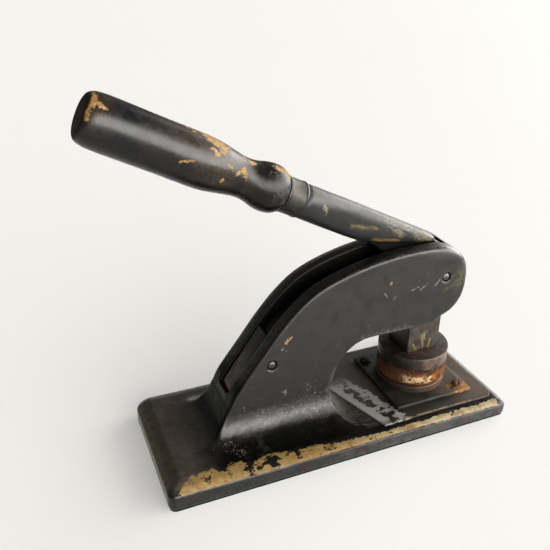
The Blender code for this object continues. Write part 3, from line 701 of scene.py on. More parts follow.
def light_specks(g, near, gilt, fine, flake):
    """Small light specks, more of them low on the near side."""
    _, y, z = g.xyz()
    mottle = g.ramp(flake, 0.52, 0.66) * near * g.ramp(z, 12, 10)
    g.coat(mottle * 0.6, (0.004, 0.0038, 0.0036))
    low = g.ramp(z, 66, 24)
    dots = g.most(g.specks(6, 0.6, 0.2) * g.blend(low, 0.4, 1),
                  g.specks(2.4, 0.36, 0.26, 4.4) * low * g.ramp(flake, 0.4, 0.62),
                  g.specks(3.4, 0.34, 0.18, 7.3) * 0.6)
    cluster = (g.stroke((-78, -28.5, 19.5), (-72, -33, 16.5), 4.2, fine, 0.8, 0.6)
               * g.ramp(g.noise(2.2, 6, 0.78, shift=6), 0.55, 0.62) * 0.7)
    foot = (g.stroke((-20, -19, 39.5), (-10, -20, 28.5), 7.5, flake, 1, 0.9)
            * g.ramp(g.noise(2.4, 6, 0.78, shift=9), 0.55, 0.63) * 0.7)
    corner = (g.stroke((-61.5, -19, 37), (-55, -19.8, 29.5), 5, flake, 1, 0.9)
              * g.ramp(g.noise(2.6, 6, 0.78, shift=2), 0.56, 0.64) * 0.7)
    trail = (g.stroke((-52, -21, 31), (-6, -22.5, 26), 5.5, flake, 1, 0.9)
             * g.ramp(g.noise(1.5, 5, 0.75, shift=12), 0.56, 0.63))
    lowest = g.ramp(z + fine * 3, 5.2, 4) * near * g.ramp(g.noise(1.6, 4, 0.65, shift=1), 0.52, 0.6)
    spots = g.most(dots, cluster, foot, corner, trail, lowest * 0.55)
    return spots * g.ramp(y, 10, -6) * (1 - gilt)


def japanned_iron():
    g = Look("japanned_iron")
    x, y, z = g.xyz()
    broad = g.noise(34, 3)
    middle = g.noise(7, 5, 0.6)
    fine = g.noise(1.6, 4, 0.6)
    grain = g.noise(0.7, 2, 0.5)
    flake = g.noise(5, 7, 0.72, shift=3.7)
    edge = g.attribute("edge")
    throat = g.attribute("throat")

    # glossy black; on upright near faces a thin grey film of dust with a painted sheen, lighter
    # higher up, and a browner film on the rear bed
    g.color = g.mix(g.ramp(broad, 0.38, 0.66), BLACK, WARM_BLACK)
    near = g.faces((0, -1, 0), 0.75, 0.97)
    film_and_sheen = near * g.ramp(middle, 0.2, 0.6, 0.45, 1)
    grey = g.mix(g.ramp(z, 42, 100), (0.0066, 0.0057, 0.0053), (0.0108, 0.0091, 0.0085))
    g.coat(film_and_sheen, grey)
    # patchy grey wear on the near side of the base, with painted light that makes it stronger
    # toward the front
    near_side_wear_and_light = near * g.ramp(z, 11.5, 10.5) * g.ramp(x, -75, 55)
    patchy = g.ramp(g.noise(4.5, 6, 0.7, (0.7, 1, 1), 17), 0.36, 0.6, 0.35, 1)
    g.coat(near_side_wear_and_light * patchy, (0.037, 0.0345, 0.0335))
    # worn grey and a painted highlight on the rounded front-near corner of the base
    corner_wear_and_highlight = g.stroke((122.5, -47.5, 3), (121.5, -46.5, 12.5), 5, middle, 0.6, 0.8)
    g.coat(corner_wear_and_highlight * 0.7, (0.062, 0.058, 0.058))
    upward = g.faces((0, 0, 1), 0.7, 0.95)
    bed = upward * g.ramp(z, 30, 22) * g.ramp(middle, 0.2, 0.65, 0.55, 1.1)
    bed = bed * g.most(g.ramp(x, -84, -112), g.ramp(y, -30, -18))
    g.coat(bed, (0.04, 0.0325, 0.026))
    rear_side = (g.faces((-1, 0, 0), 0.3, 0.75) * g.ramp(x, -108, -112) * g.ramp(y, -47, -42)
                 * g.ramp(middle, 0.2, 0.6, 0.5, 1.1))
    g.coat(rear_side, (0.08, 0.059, 0.035))
    # painted sheen: the top of the far cheek made lighter grey, lighter toward the front
    far_rim_sheen = g.ramp(y, 12.5, 16.5) * g.faces((-0.4, 0, 0.9), 0.3, 0.7) * g.ramp(z, 60, 70)
    g.coat(far_rim_sheen * 0.9, g.mix(g.ramp(x, -60, 30), (0.054, 0.049, 0.042), (0.145, 0.136, 0.129)))
    # painted shade: the rear cove and the near bed at the foot of the arm are darkened to near
    # black
    rear_cove_shade = (g.faces((-1, 0, 0), 0.15, 0.45) * g.ramp(x, -110, -106) * g.ramp(z, 20, 27)
                 * g.ramp(z, 62, 54))
    near_bed_shade = (g.ramp(x, -96, -80) * g.ramp(x, 10, -8) * g.ramp(y, -18, -24) * g.ramp(z, 23, 18.5)
                * g.ramp(y, -43, -40))
    shaded_hollow = g.most(rear_cove_shade, near_bed_shade)
    g.coat(shaded_hollow, (0.0016, 0.0015, 0.0012))
    rough = g.blend(g.ramp(middle, 0.32, 0.7), 0.2, 0.36)
    rough = g.blend(film_and_sheen, rough, 0.38)

    # grey dusty smears over the cove of the foot
    smear = (g.ramp(g.noise(9, 6, 0.66, (1, 1, 1.6), 4.9), 0.52, 0.74) * g.ramp(z, 44, 30)
             * g.ramp(y, 0, -14) * g.ramp(x, -76, -60) * g.ramp(x, -30, -48, 0.35, 1))
    g.coat(smear * 0.75, (0.015, 0.0148, 0.0146))

    # brown line worn along the inner edge of the rear chamfer
    line = g.stroke((-117.2, -46, 16.5), (-117.2, 30, 16.5), 2, flake, 1.6, 0.5)
    g.coat(line * g.ramp(middle, 0.35, 0.6), (0.04, 0.027, 0.011))

    # edges rubbed to grey, with a painted highlight along the arrises that is stronger on the near
    # side and toward the front
    arris_highlight = g.ramp(x, -40, 35, 0.12, 1)
    rubbed = edge * g.ramp(fine, 0.34, 0.62) * g.ramp(middle, 0.3, 0.62, 0.25, 1)
    g.coat(rubbed * g.ramp(y, -4, -12, 0.12, 0.7) * arris_highlight, GREY_WEAR)

    gilt, gold = gilt_band(g, middle, fine, flake)
    g.coat(gilt, gold)
    rough = g.blend(gilt, rough, 0.5)

    # unpainted concave face at the foot of the throat
    streak = g.noise(3, 5, 0.65, (0.35, 1.6, 0.35), 2.2)
    bare = g.mix(g.ramp(streak, 0.35, 0.7), (0.0085, 0.0068, 0.0053), (0.042, 0.034, 0.026))
    g.coat(throat, bare)
    rough = g.blend(throat, rough, 0.45)

    cheek_wear(g, y, fine, flake)
    spots = light_specks(g, near, gilt, fine, flake)
    g.coat(spots * 0.72, DUST)
    rough = g.blend(g.most(spots, rubbed), rough, 0.55)

    # no light gets down into the slot
    slot = (g.ramp(y, -SLOT_HALF - 0.9, -SLOT_HALF - 0.1)
            * g.ramp(y, SLOT_HALF + 0.9, SLOT_HALF + 0.1) * g.ramp(z, 40.5, 42.5)
            * g.ramp(x, 92, 84))
    g.coat(slot, (0.0038, 0.0034, 0.003))
    gloss = g.blend(g.ramp(x, -50, -38) * g.ramp(z, 27, 23) * g.ramp(y, -16, -19), 0.3, 0.16)
    uneven = g.ramp(g.noise(3.6, 6, 0.7, shift=21), 0.32, 0.66, 0.75, 1.25)
    gloss = gloss * g.blend(g.ramp(z, 50, 34), 1, uneven)
    # little gloss where the shade is painted
    gloss = g.blend(shaded_hollow, gloss, 0.06)
    height = middle * 0.32 + fine * 0.035 + grain * 0.014 + gilt * 0.05
    return g.finish(rough, height, 0.6, Specular_IOR_Level=g.blend(slot, gloss, 0.12))


def machined_pad():
    (x0, y0), (x1, y1) = PAD_EDGE
    outline = [(x0, y0), (116.0, y0), (119.0, y0 + 3), (119.0, y1 - 3), (116.0, y1), (x1, y1)]
    obj = slab_xy("machined_pad", outline, 12.3, PAD_TOP)
    bevel(obj, 0.35, 2)
    return settle(obj)


def pad_iron():
    g = Look("worn_machined_iron", Specular_IOR_Level=0.34)
    x, y, z = g.xyz()
    middle = g.noise(6, 5, 0.62, shift=1.3)
    fine = g.noise(1.5, 4, 0.62)
    island = g.noise(4.6, 6, 0.7, (0.75, 1, 1), 9.4)
    (x0, y0), (x1, y1) = PAD_EDGE
    length = math.hypot(x1 - x0, y1 - y0)
    normal = ((y1 - y0) / length, -(x1 - x0) / length, 0)
    inward = g.vector('DOT_PRODUCT', g.vector('SUBTRACT', g.mm, (x0, y0, 0)), normal)
    ragged = inward + (middle - 0.5) * 14
    blotch = g.ramp(inward, 4.5, 6.5) * g.ramp(inward, 15, 11) * 0.1
    polished = g.ramp(ragged, 19, 17.6) * g.ramp(island + blotch, 0.61, 0.58)
    strip = g.ramp(inward, 4.6, 3.2)
    polished = g.most(polished, strip)
    cover = g.ramp(y, 20, 2)
    polished = polished * cover
    g.color = g.mix(g.ramp(middle, 0.35, 0.7), (0.005, 0.0046, 0.0044), (0.0105, 0.0092, 0.0084))
    g.coat(g.ramp(g.noise(4, 5, 0.66, shift=12), 0.48, 0.68) * 0.7, (0.019, 0.0115, 0.0075))
    lighter = g.most(g.ramp(y, -30, -12), g.ramp(x, 82, 100)) * g.ramp(middle, 0.25, 0.6, 0.6, 1)
    g.coat(lighter, g.mix(g.ramp(x, 76, 112), (0.034, 0.028, 0.024), (0.062, 0.044, 0.027)))
    bare = g.mix(g.ramp(fine, 0.3, 0.75), IRON_GREY, (0.175, 0.165, 0.153))
    g.coat(polished, bare)
    stripe = (g.ramp(y, -41, -41.3) * g.ramp(y, -42.4, -42.2) * g.ramp(z, 13.35, 13.6)
              * g.ramp(g.noise(5, 5, 0.66, (1, 0.2, 0.2), 2), 0.42, 0.52) * g.ramp(x, 34, 42)
              * g.ramp(x, 106, 99))
    g.coat(stripe * 0.9, (0.185, 0.135, 0.055))
    shadowed = g.ramp(y, -36, -41) * g.ramp(middle, 0.3, 0.6)
    g.coat(shadowed * (1 - stripe) * 0.6, (0.016, 0.011, 0.009))
    rough = g.blend(polished, 0.42, 0.38)
    height = middle * 0.1 + fine * 0.04
    height = height - polished * 0.08
    return g.finish(rough, height, 0.5, Metallic=polished * 0.15)


# ------------------------------------------------------------------ plate, screws and dies
def die_plate():
    hx, hy = PLATE_HALF
    obj = slab_xy("die_plate_detailed", rectangle(PLATE_X - hx, PLATE_X + hx, -hy, hy), PLATE_LOW,
                  PLATE_TOP)
    tools = []
    for sx in (-1, 1):
        centre = (PLATE_X + sx * SCREW_OFFSET[0], -sx * SCREW_OFFSET[1])
        tools.append(slab_xy("hole", circle(*centre, 3.0, 32), 10.0, 20.0))
    groove = rectangle(93.1, 93.5, -33.5, -8.0)
    tools.append(slab_xy("joint_line", groove, PLATE_TOP - 0.35, 20.0))
    bevel(obj, 0.6, 3)
    boolean(obj, 'DIFFERENCE', *tools)
    return shade(settle(obj, *tools), 25.0)


def plate_steel():
    g = Look("oiled_dark_steel", Specular_IOR_Level=0.4)
    x = g.xyz()[0]
    middle = g.noise(8, 5, 0.6, shift=4)
    fine = g.noise(1.2, 4, 0.6, (0.5, 1.6, 1))
    g.color = g.mix(g.ramp(middle, 0.35, 0.7), (0.0056, 0.0053, 0.0038), (0.012, 0.0112, 0.0082))
    g.coat(g.ramp(fine, 0.62, 0.72) * 0.25, (0.045, 0.045, 0.038))
    dusty = g.ramp(x, 76, 96) * g.ramp(middle, 0.25, 0.65, 0.4, 1)
    g.coat(dusty, (0.05, 0.033, 0.015))
    halo_noise = g.noise(3.2, 5, 0.62, shift=2.6)
    centre = (PLATE_X + SCREW_OFFSET[0], -SCREW_OFFSET[1])
    halo = g.strokes(((centre[0] - 6, -32, 17), (centre[0] + 5, -32, 17), 1.6, halo_noise, 1),
                     ((centre[0] - 1, centre[1] - 3, 17), (centre[0] + 4.5, centre[1] - 3.5, 17),
                      5.4, halo_noise, 0.9),
                     ((centre[0] - 8, centre[1] + 1, 17), (centre[0], centre[1], 17), 3, halo_noise,
                      1.2))
    rust = g.mix(g.ramp(fine, 0.3, 0.7), (0.235, 0.11, 0.02), (0.1, 0.04, 0.01))
    g.coat(halo, rust)
    around = g.stroke((RAM_X, 0, 17), (RAM_X, 0, 17), 30, middle, 0.5)
    crumbs = around * g.specks(2.4, 0.55, 0.22, 1.7)
    g.coat(crumbs * 0.8, (0.12, 0.052, 0.018))
    rough = g.blend(halo, g.blend(g.ramp(middle, 0.3, 0.7), 0.34, 0.5), 0.85)
    height = middle * 0.08 + fine * 0.03
    height = height + halo * fine * 0.3
    return g.finish(rough, height, 0.5)


def die_iron():
    g = Look("oiled_die_iron", Specular_IOR_Level=0.35)
    x, _, z = g.xyz()
    middle = g.noise(6, 5, 0.6, shift=4.4)
    fine = g.noise(1.2, 4, 0.6)
    g.color = g.mix(g.ramp(middle, 0.35, 0.7), (0.0045, 0.0038, 0.0028), (0.01, 0.008, 0.0058))
    # painted highlight: a pale line on the top rim of the lower die, strongest on its right
    painted_light_rim = (g.ramp(z, 21.35, 21.6) * g.ramp(fine, 0.3, 0.5)
           * g.ramp(x, RAM_X - 12, RAM_X + 4, 0.15, 1))
    g.coat(painted_light_rim, (0.115, 0.082, 0.05))
    rust = g.ramp(middle, 0.4, 0.62, 0.45, 1) * g.ramp(x, RAM_X - 12, RAM_X + 6, 0.15, 1)
    g.coat(rust, (0.062, 0.028, 0.012))
    rough = g.blend(g.ramp(fine, 0.3, 0.7), 0.36, 0.55)
    return g.finish(rough, fine * 0.05, 0.5)


def plate_screw(name, sx, slot_angle, slot_floor, lumps):
    """Screw with a slightly domed slotted head; lumps is the height of the rust on it."""
    centre = (PLATE_X + sx * SCREW_OFFSET[0], -sx * SCREW_OFFSET[1])
    place = Matrix.Translation((*centre, PLATE_TOP + 0.05))
    profile = [(0.02, -9.0), (2.5, -9.0), (2.5, 0.0), (4.0, 0.0), (4.2, 0.3), (4.2, 1.3),
               (4.05, 1.7), (3.7, 2.05), (3.1, 2.3), (2.2, 2.48), (1.2, 2.57), (0.02, 2.6)]
    obj = turned(name, profile, 64, place)
    turn = Matrix.Rotation(slot_angle, 4, 'Z')
    bar = [turn @ Vector((*p, 0.0)) for p in rectangle(-6, 6, -0.6, 0.6)]
    outline = [(centre[0] + p.x, centre[1] + p.y) for p in bar]
    slot = slab_xy("slot", outline, PLATE_TOP + slot_floor, 24.0)
    boolean(obj, 'DIFFERENCE', slot)
    settle(obj, slot)
    remesh(obj, 0.22, 2, 24000)
    if lumps:
        roughen(obj, lumps, 1.5, low=PLATE_TOP)
    return smooth(obj)


def lattice_noise(points, size, seed):
    """Smooth value noise from 0 to 1 at points in mm, on a grid of size mm."""
    cells = points / size
    base = np.floor(cells).astype(np.int64)
    part = cells - base
    part = part * part * (3 - 2 * part)
    total = np.zeros(len(points))
    for corner in range(8):
        offset = np.array([(corner >> k) & 1 for k in range(3)])
        key = (base + offset) @ np.array([73856093, 19349663, 83492791]) + seed * 2654435761
        key = (key ^ (key >> 13)) * 1274126177 & 0xFFFFFFFF
        value = ((key ^ (key >> 16)) & 0xFFFF) / 65535.0
        weight = np.prod(np.where(offset == 1, part, 1 - part), axis=1)
        total += weight * value
    return total


def roughen(obj, amount, size, low=-1e9, seed=3, weight=None):
    """Move the skin in and out along its normals by up to half the amount, in mm."""
    co = vertex_array(obj)
    coarse, fine = lattice_noise(co, size, seed), lattice_noise(co, size / 2.3, seed + 7)
    value = coarse * 0.65 + fine * 0.35 - 0.5
    value *= amount * (co[:, 2] > low)
    if weight is not None:
        value *= weight(co)
    move_vertices(obj, co + vertex_normals(obj) * value[:, None])


def stay_above(obj, level):
    co = vertex_array(obj)
    co[:, 2] = np.maximum(co[:, 2], level)
    move_vertices(obj, co)


def disc_profile(radius, low, high, round_low, round_high):
    profile = [(0.02, low), (radius * 0.5, low), (radius - round_low, low)]
    profile += [(radius - round_low + round_low * math.sin(a), low + round_low - round_low
                 * math.cos(a)) for a in (0.52, 1.05, 1.57)]
    profile += [(radius, low + (high - low) * t) for t in (0.3, 0.5, 0.7)]
    profile += [(radius - round_high + round_high * math.cos(a),
                 high - round_high + round_high * math.sin(a)) for a in (0.0, 0.52, 1.05, 1.57)]
    return profile + [(radius * 0.5, high), (0.02, high)]


def steel(name, dark, light, rough=(0.32, 0.5), scratch=0.4, metallic=0.7):
    """Bare steel gone dark, with fine scratches."""
    g = Look(name, Metallic=metallic)
    middle = g.noise(5, 5, 0.62, shift=1.9)
    fine = g.noise(0.8, 4, 0.6)
    lines = g.noise(0.9, 3, 0.6, (0.12, 0.12, 2.2), 7)
    g.color = g.mix(g.ramp(middle, 0.32, 0.72), dark, light)
    bright = tuple(min(1, c * 2.4) for c in light)
    g.coat(g.ramp(lines, 0.6, 0.72) * scratch, bright)
    roughness = g.blend(g.ramp(middle, 0.3, 0.7), *rough)
    return g, roughness, fine * 0.03, middle, fine


def head_steel():
    """Ram head: brown dust round the ram on top, a painted pink-grey sheen on the right of the
    side.
    """
    g, rough, height, middle, fine = steel("worn_head_steel", (0.012, 0.0092, 0.0075),
                                           (0.034, 0.0245, 0.0195), (0.36, 0.52))
    x, _, z = g.xyz()
    top = g.ramp(z, HEAD_HIGH - 0.6, HEAD_HIGH - 0.2)
    dust = g.stroke((RAM_X - 6, -13.5, HEAD_HIGH), (RAM_X + 12, -13.5, HEAD_HIGH), 6.5, middle, 1.4)
    dust = dust * top * g.ramp(fine, 0.36, 0.6)
    g.coat(dust * 0.85, (0.052, 0.025, 0.014))
    low = g.ramp(z, HEAD_LOW + 3.4, HEAD_LOW + 0.6) * g.ramp(middle, 0.42, 0.62)
    g.coat(low * 0.7, (0.055, 0.03, 0.017))
    blotch = g.ramp(g.noise(3.6, 5, 0.7, shift=3.3), 0.56, 0.64) * 0.55
    g.coat(blotch, (0.1, 0.082, 0.077))
    # painted sheen: the right of the side made pink-grey
    right_sheen = (g.ramp(x, RAM_X - 13, RAM_X + 2) * g.ramp(z, HEAD_HIGH, HEAD_HIGH - 0.5)
             * g.ramp(middle, 0.3, 0.62, 0.35, 1))
    g.coat(right_sheen * 0.85, (0.155, 0.108, 0.082))
    rough = g.blend(dust, rough, 0.85)
    return g.finish(rough, height, 0.6)


def lining():
    """Rusty, flaking edge of the counter-die with old paste on its near side."""
    g = Look("rust_and_paste", Specular_IOR_Level=0.12)
    z = g.xyz()[2]
    turn = g.vector('NORMALIZE', g.vector('SUBTRACT', g.mm, (RAM_X, 0, 0)))
    tx, ty, _ = g.split(turn)
    middle = g.noise(3.6, 5, 0.66, (1, 1, 1.4), 2.7)
    fine = g.noise(1.1, 5, 0.66)
    flake = g.noise(4.2, 6, 0.68, (1, 1, 1.3), 6.1)
    g.color = g.mix(g.ramp(middle, 0.35, 0.68), (0.066, 0.024, 0.009), (0.03, 0.012, 0.006))
    tan = g.mix(g.ramp(fine, 0.3, 0.7), (0.165, 0.062, 0.02), (0.08, 0.028, 0.009))
    g.coat(g.ramp(tx, -0.55, -0.8), tan)
    orange = (g.ramp(tx, -0.46, -0.26) * g.ramp(flake, 0.45, 0.58)
              * g.ramp(z + middle * 6, COUNTER_LOW + 12, COUNTER_LOW + 8, 0.25, 1))
    g.coat(orange, (0.25, 0.08, 0.012))
    paste = (g.ramp(tx, -0.54, -0.42) * g.ramp(tx, 0.1, -0.02) * g.ramp(ty, -0.3, -0.6)
             * g.ramp(z, COUNTER_LOW + 1.2, COUNTER_LOW + 2.2)
             * g.ramp(z + middle * 5, COUNTER_LOW + 10.5, COUNTER_LOW + 8.6))
    paste = paste * g.ramp(flake, 0.445, 0.48)
    g.coat(g.ramp(tx, -0.06, 0.26) * 0.6, (0.036, 0.019, 0.01))
    cream = g.mix(g.ramp(fine, 0.35, 0.7), (0.36, 0.275, 0.165), (0.23, 0.135, 0.05))
    g.coat(paste, cream)
    shadow = g.ramp(z, COUNTER_HIGH - 3.4, COUNTER_HIGH - 1.4) * g.ramp(flake, 0.7, 0.4)
    g.coat(shadow * 0.8, (0.017, 0.009, 0.006))
    height = middle * 0.5 + fine * 0.22
    height = height + paste * 0.35
    return g.finish(0.86, height, 0.8)


COUNTER_LOW, COUNTER_HIGH, COUNTER_RADIUS = 24.0, 35.9, 25.4


def counter_die():
    place = Matrix.Translation((RAM_X + 0.4, 0.0, 0.0))
    profile = disc_profile(COUNTER_RADIUS, COUNTER_LOW, COUNTER_HIGH, 0.7, 0.5)
    obj = turned("counter_die_detailed", profile, 128, place)
    remesh(obj, 0.5, 1, 60000)

    def flaky(co):
        turn = np.arctan2(co[:, 1], co[:, 0] - RAM_X)
        near = np.clip(1.2 - np.abs(turn + 1.35) / 1.4, 0.25, 1.0)
        radius = np.hypot(co[:, 0] - RAM_X, co[:, 1])
        return near * np.clip((radius - 18.0) / 5.0, 0.0, 1.0)

    roughen(obj, 1.3, 3.4, seed=5, weight=flaky)
    stay_above(obj, COUNTER_LOW)
    return smooth(obj)


# ------------------------------------------------------------------ ram and pins
def ram():
    """Square ram with rounded corners and the lug for the link pin."""
    low, high = HEAD_HIGH + 0.3, 92.0
    outline = []
    for sx, sy, start in ((1, -1, -90.0), (1, 1, 0.0), (-1, 1, 90.0), (-1, -1, 180.0)):
        centre = (RAM_X + sx * (RAM_HALF - 1.1), sy * (RAM_HALF - 1.1))
        outline += arc(centre, 1.1, start, start + 90.0, 5)
    obj = slab_xy("ram_detailed", outline, low, high)
    lug = [(69.1, 90.0)] + arc(LINK_PIN, 4.4, 180.0, 0.0, 20) + [(77.9, 90.0)]
    tool = slab_xz("lug", lug, 2.5)
    hole = slab_xz("hole", circle(*LINK_PIN, 2.5, 24), 6.0)
    boolean(obj, 'UNION', tool)
    boolean(obj, 'DIFFERENCE', hole)
    return shade(settle(obj, tool, hole), 40.0)


def ram_steel():
    g, rough, height, middle, fine = steel("ram_steel", (0.034, 0.0275, 0.023),
                                           (0.066, 0.054, 0.046), (0.34, 0.46), 0.25)
    _, sideways, z = g.xyz()
    near = g.ramp(sideways, -11, -12.6)
    y = -RAM_HALF
    marks = g.strokes(((68.6, y, 47), (65.8, y, 52.4), 0.9, fine, 1.2),
                      ((74.4, y, 48.4), (72.4, y, 59), 0.9, fine, 1.5),
                      ((78.6, y, 47.4), (80, y, 54), 0.9, fine, 1.3),
                      ((74.6, y, 55), (74.2, y, 60.5), 0.8, fine, 1.8))
    g.coat(marks * near * 0.8, (0.2, 0.165, 0.055))
    foot = g.ramp(z, HEAD_HIGH + 2.6, HEAD_HIGH + 0.6) * g.ramp(fine, 0.35, 0.6)
    g.coat(foot, (0.035, 0.015, 0.009))
    top = g.ramp(z, 64, 69.5) * g.ramp(middle, 0.4, 0.6)
    g.coat(top * 0.7, (0.05, 0.022, 0.011))
    return g.finish(rough, height, 0.5)


def domed_pin(name, centre, half, lift):
    """Cross pin with domed ends."""
    radius = PIN_RADIUS - 0.05
    place = Matrix.Translation((centre[0], 0.0, centre[1])) @ Matrix.Rotation(math.pi / 2, 4, 'X')
    side = [(radius * math.sin(a), half - lift * (1 - math.cos(a)))
            for a in np.linspace(0.02, math.pi / 2, 9)]
    profile = [(r, -z) for r, z in side] + [(r, z) for r, z in reversed(side)]
    return shade(turned(name, profile, 48, place), 50.0)


# ------------------------------------------------------------------ lever, handle, ferrule
def on_axis(s, n=0.0):
    """Point s mm along the handle centre line and n mm above it, as (x, z)."""
    return (AXIS_POINT[0] + s * ALONG[0] + n * ACROSS[0], AXIS_POINT[1] + s * ALONG[1] + n
            * ACROSS[1])


def at(s, n, y=-6.8):
    """The same point in space, y mm to the side."""
    px, pz = on_axis(s, n)
    return (px, y, pz)


def lever_section(s, half_width, low, high, power):
    ring = []
    for i in range(72):
        a = 2 * math.pi * (i + 0.5) / 72
        y = half_width * math.copysign(abs(math.cos(a)) ** (2 / power), math.cos(a))
        n = (high - low) / 2 * math.copysign(abs(math.sin(a)) ** (2 / power), math.sin(a))
        px, pz = on_axis(s, (low + high) / 2 + n)
        ring.append((px, y, pz))
    return ring


LEVER_STATIONS = [(103.3, 10.4, -10.4, 10.4, 2.0), (105.5, 11.0, -11.0, 11.0, 2.0),
                  (114.0, 10.4, -11.1, 11.0, 2.2), (128.0, 8.8, -11.2, 11.1, 2.5),
                  (144.0, 7.5, -11.2, 11.2, 2.8), (156.0, 7.5, -10.9, 11.2, 2.9),
                  (168.0, 7.5, -7.6, 11.2, 2.9), (183.0, 7.5, -2.6, 11.2, 2.9),
                  (199.0, 7.5, 3.2, 11.2, 2.9), (204.0, 7.4, 5.0, 11.1, 2.7),
                  (208.0, 6.4, 6.2, 10.8, 2.4), (210.5, 4.4, 7.2, 10.2, 2.0)]
WEB_HALF = 5.2


def lever():
    rings = []
    for first, second in zip(LEVER_STATIONS, LEVER_STATIONS[1:]):
        for k in range(4):
            rings.append(lever_section(*(a + (b - a) * k / 4 for a, b in zip(first, second))))
    rings.append(lever_section(*LEVER_STATIONS[-1]))
    bar = loft("lever_detailed", rings)
    web = [on_axis(158.0, 2.0), on_axis(199.0, 8.5), on_axis(208.5, 8.4), (84.0, 126.2),
           (88.6, 117.5)]
    web += arc(PIVOT, 9.0, 25.0, -125.0, 28)
    web += [on_axis(211.0, -11.0), on_axis(196.0, -11.4), on_axis(176.0, -11.4),
            on_axis(160.0, -8.8)]
    tools = [slab_xz("web", web, WEB_HALF),
             slab_xy("fork", rectangle(67.5, 78.5, -2.8, 2.8), 90.0, 113.2),
             slab_xz("pivot_hole", circle(*PIVOT, PIN_RADIUS + 0.3, 32), 12.0),
             slab_xz("link_hole", circle(*LINK_PIN, 2.3, 24), 12.0)]
    boolean(bar, 'UNION', tools[0])
    boolean(bar, 'DIFFERENCE', *tools[1:])
    settle(bar, *tools)
    remesh(bar, 0.55, 2, 90000)
    store_edges(bar, 0.12, 0.8)
    return smooth(bar)


def lever_paint():
    g = Look("worn_lever_paint")
    broad = g.noise(20, 4)
    middle = g.noise(6, 5, 0.62, shift=5.1)
    fine = g.noise(1.3, 4, 0.62)
    axis = g.along_handle()
    streak = g.noise(2.6, 5, 0.66, (0.28, 1.3, 1), 4, axis)
    edge = g.attribute("edge")
    g.color = g.mix(g.ramp(broad, 0.35, 0.7), (0.004, 0.004, 0.0042), (0.0085, 0.0084, 0.0085))
    g.coat(g.ramp(streak, 0.5, 0.7) * 0.5, (0.022, 0.021, 0.02))
    rough = g.blend(g.ramp(middle, 0.3, 0.7), 0.32, 0.48)
    cream = g.strokes((at(166, 9.2, -4.5), at(180, 4), 2.8, streak, 1.6, 0.8),
                      (at(184, 9, -4.5), at(204, 6.5), 2.8, streak, 1.6, 0.8))
    g.coat(cream * g.ramp(fine, 0.36, 0.58) * 0.7, (0.15, 0.122, 0.072))
    ochre = g.strokes((at(142, -2.6), at(160, 1.6), 1.25, streak, 1.3, 0.9),
                      (at(163, -6), at(181, -0.8), 1.7, streak, 1, 0.8))
    g.coat(ochre * g.ramp(fine, 0.3, 0.55, 0.35, 1) * 0.9, (0.095, 0.06, 0.014))
    chip = g.most(g.stroke(at(116, 3, -9.5), at(118, 1, -10), 1.2, fine, 2),
                  g.specks(5, 0.5, 0.22) * 0.8)
    g.coat(chip * 0.7, (0.13, 0.118, 0.07))
    rubbed = edge * g.ramp(fine, 0.3, 0.6) * 0.6
    g.coat(rubbed, GREY_WEAR)
    rough = g.blend(g.most(cream, ochre, rubbed), rough, 0.55)

    # the web under the bar goes down into the dark slot
    along, across, sideways = g.split(axis)
    start, level = AXIS_START
    web = (g.ramp(sideways, -5.6, -5.3) * g.ramp(sideways, 5.6, 5.3)
           * g.ramp(across, level + 8, level + 7) * g.ramp(along, start + 156, start + 160))
    g.coat(web, (0.0018, 0.0018, 0.0018))
    height = middle * 0.18 + fine * 0.05 - g.most(cream, ochre) * 0.05
    return g.finish(rough, height, 0.5, Specular_IOR_Level=g.blend(web, 0.3, 0.06))


HANDLE_PROFILE = [(88.95, 11.2), (88.2, 12.4), (86.2, 13.6), (83.2, 14.5), (79.8, 14.8),
                  (76.2, 14.5), (72.4, 13.7), (68.6, 12.6), (65.0, 12.0), (61.5, 11.9),
                  (57.0, 12.3), (51.5, 13.2), (45.5, 14.3), (39.5, 15.0), (33.0, 15.3),
                  (24.0, 15.2), (12.0, 15.0), (-2.0, 15.0), (-14.0, 15.0), (-22.0, 14.9),
                  (-27.4, 14.6), (-30.4, 14.0), (-32.5, 13.0), (-33.8, 11.4), (-34.4, 8.6),
                  (-34.6, 4.0)]


def axis_place():
    """Stands a turned piece on the handle centre line, its +Z toward the lever."""
    turn = Matrix.Rotation(math.pi / 2 + LEVER_ANGLE, 4, 'Y')
    return Matrix.Translation((AXIS_POINT[0], 0.0, AXIS_POINT[1])) @ turn


def handle():
    curve = smooth_curve(HANDLE_PROFILE, 5)
    profile = [(0.02, 101.6), (9.0, 101.6), (9.0, 89.0)] + [(r, s) for s, r in curve]
    profile.append((0.02, -34.6))
    return shade(turned("handle_detailed", profile, 128, axis_place()), 50.0)


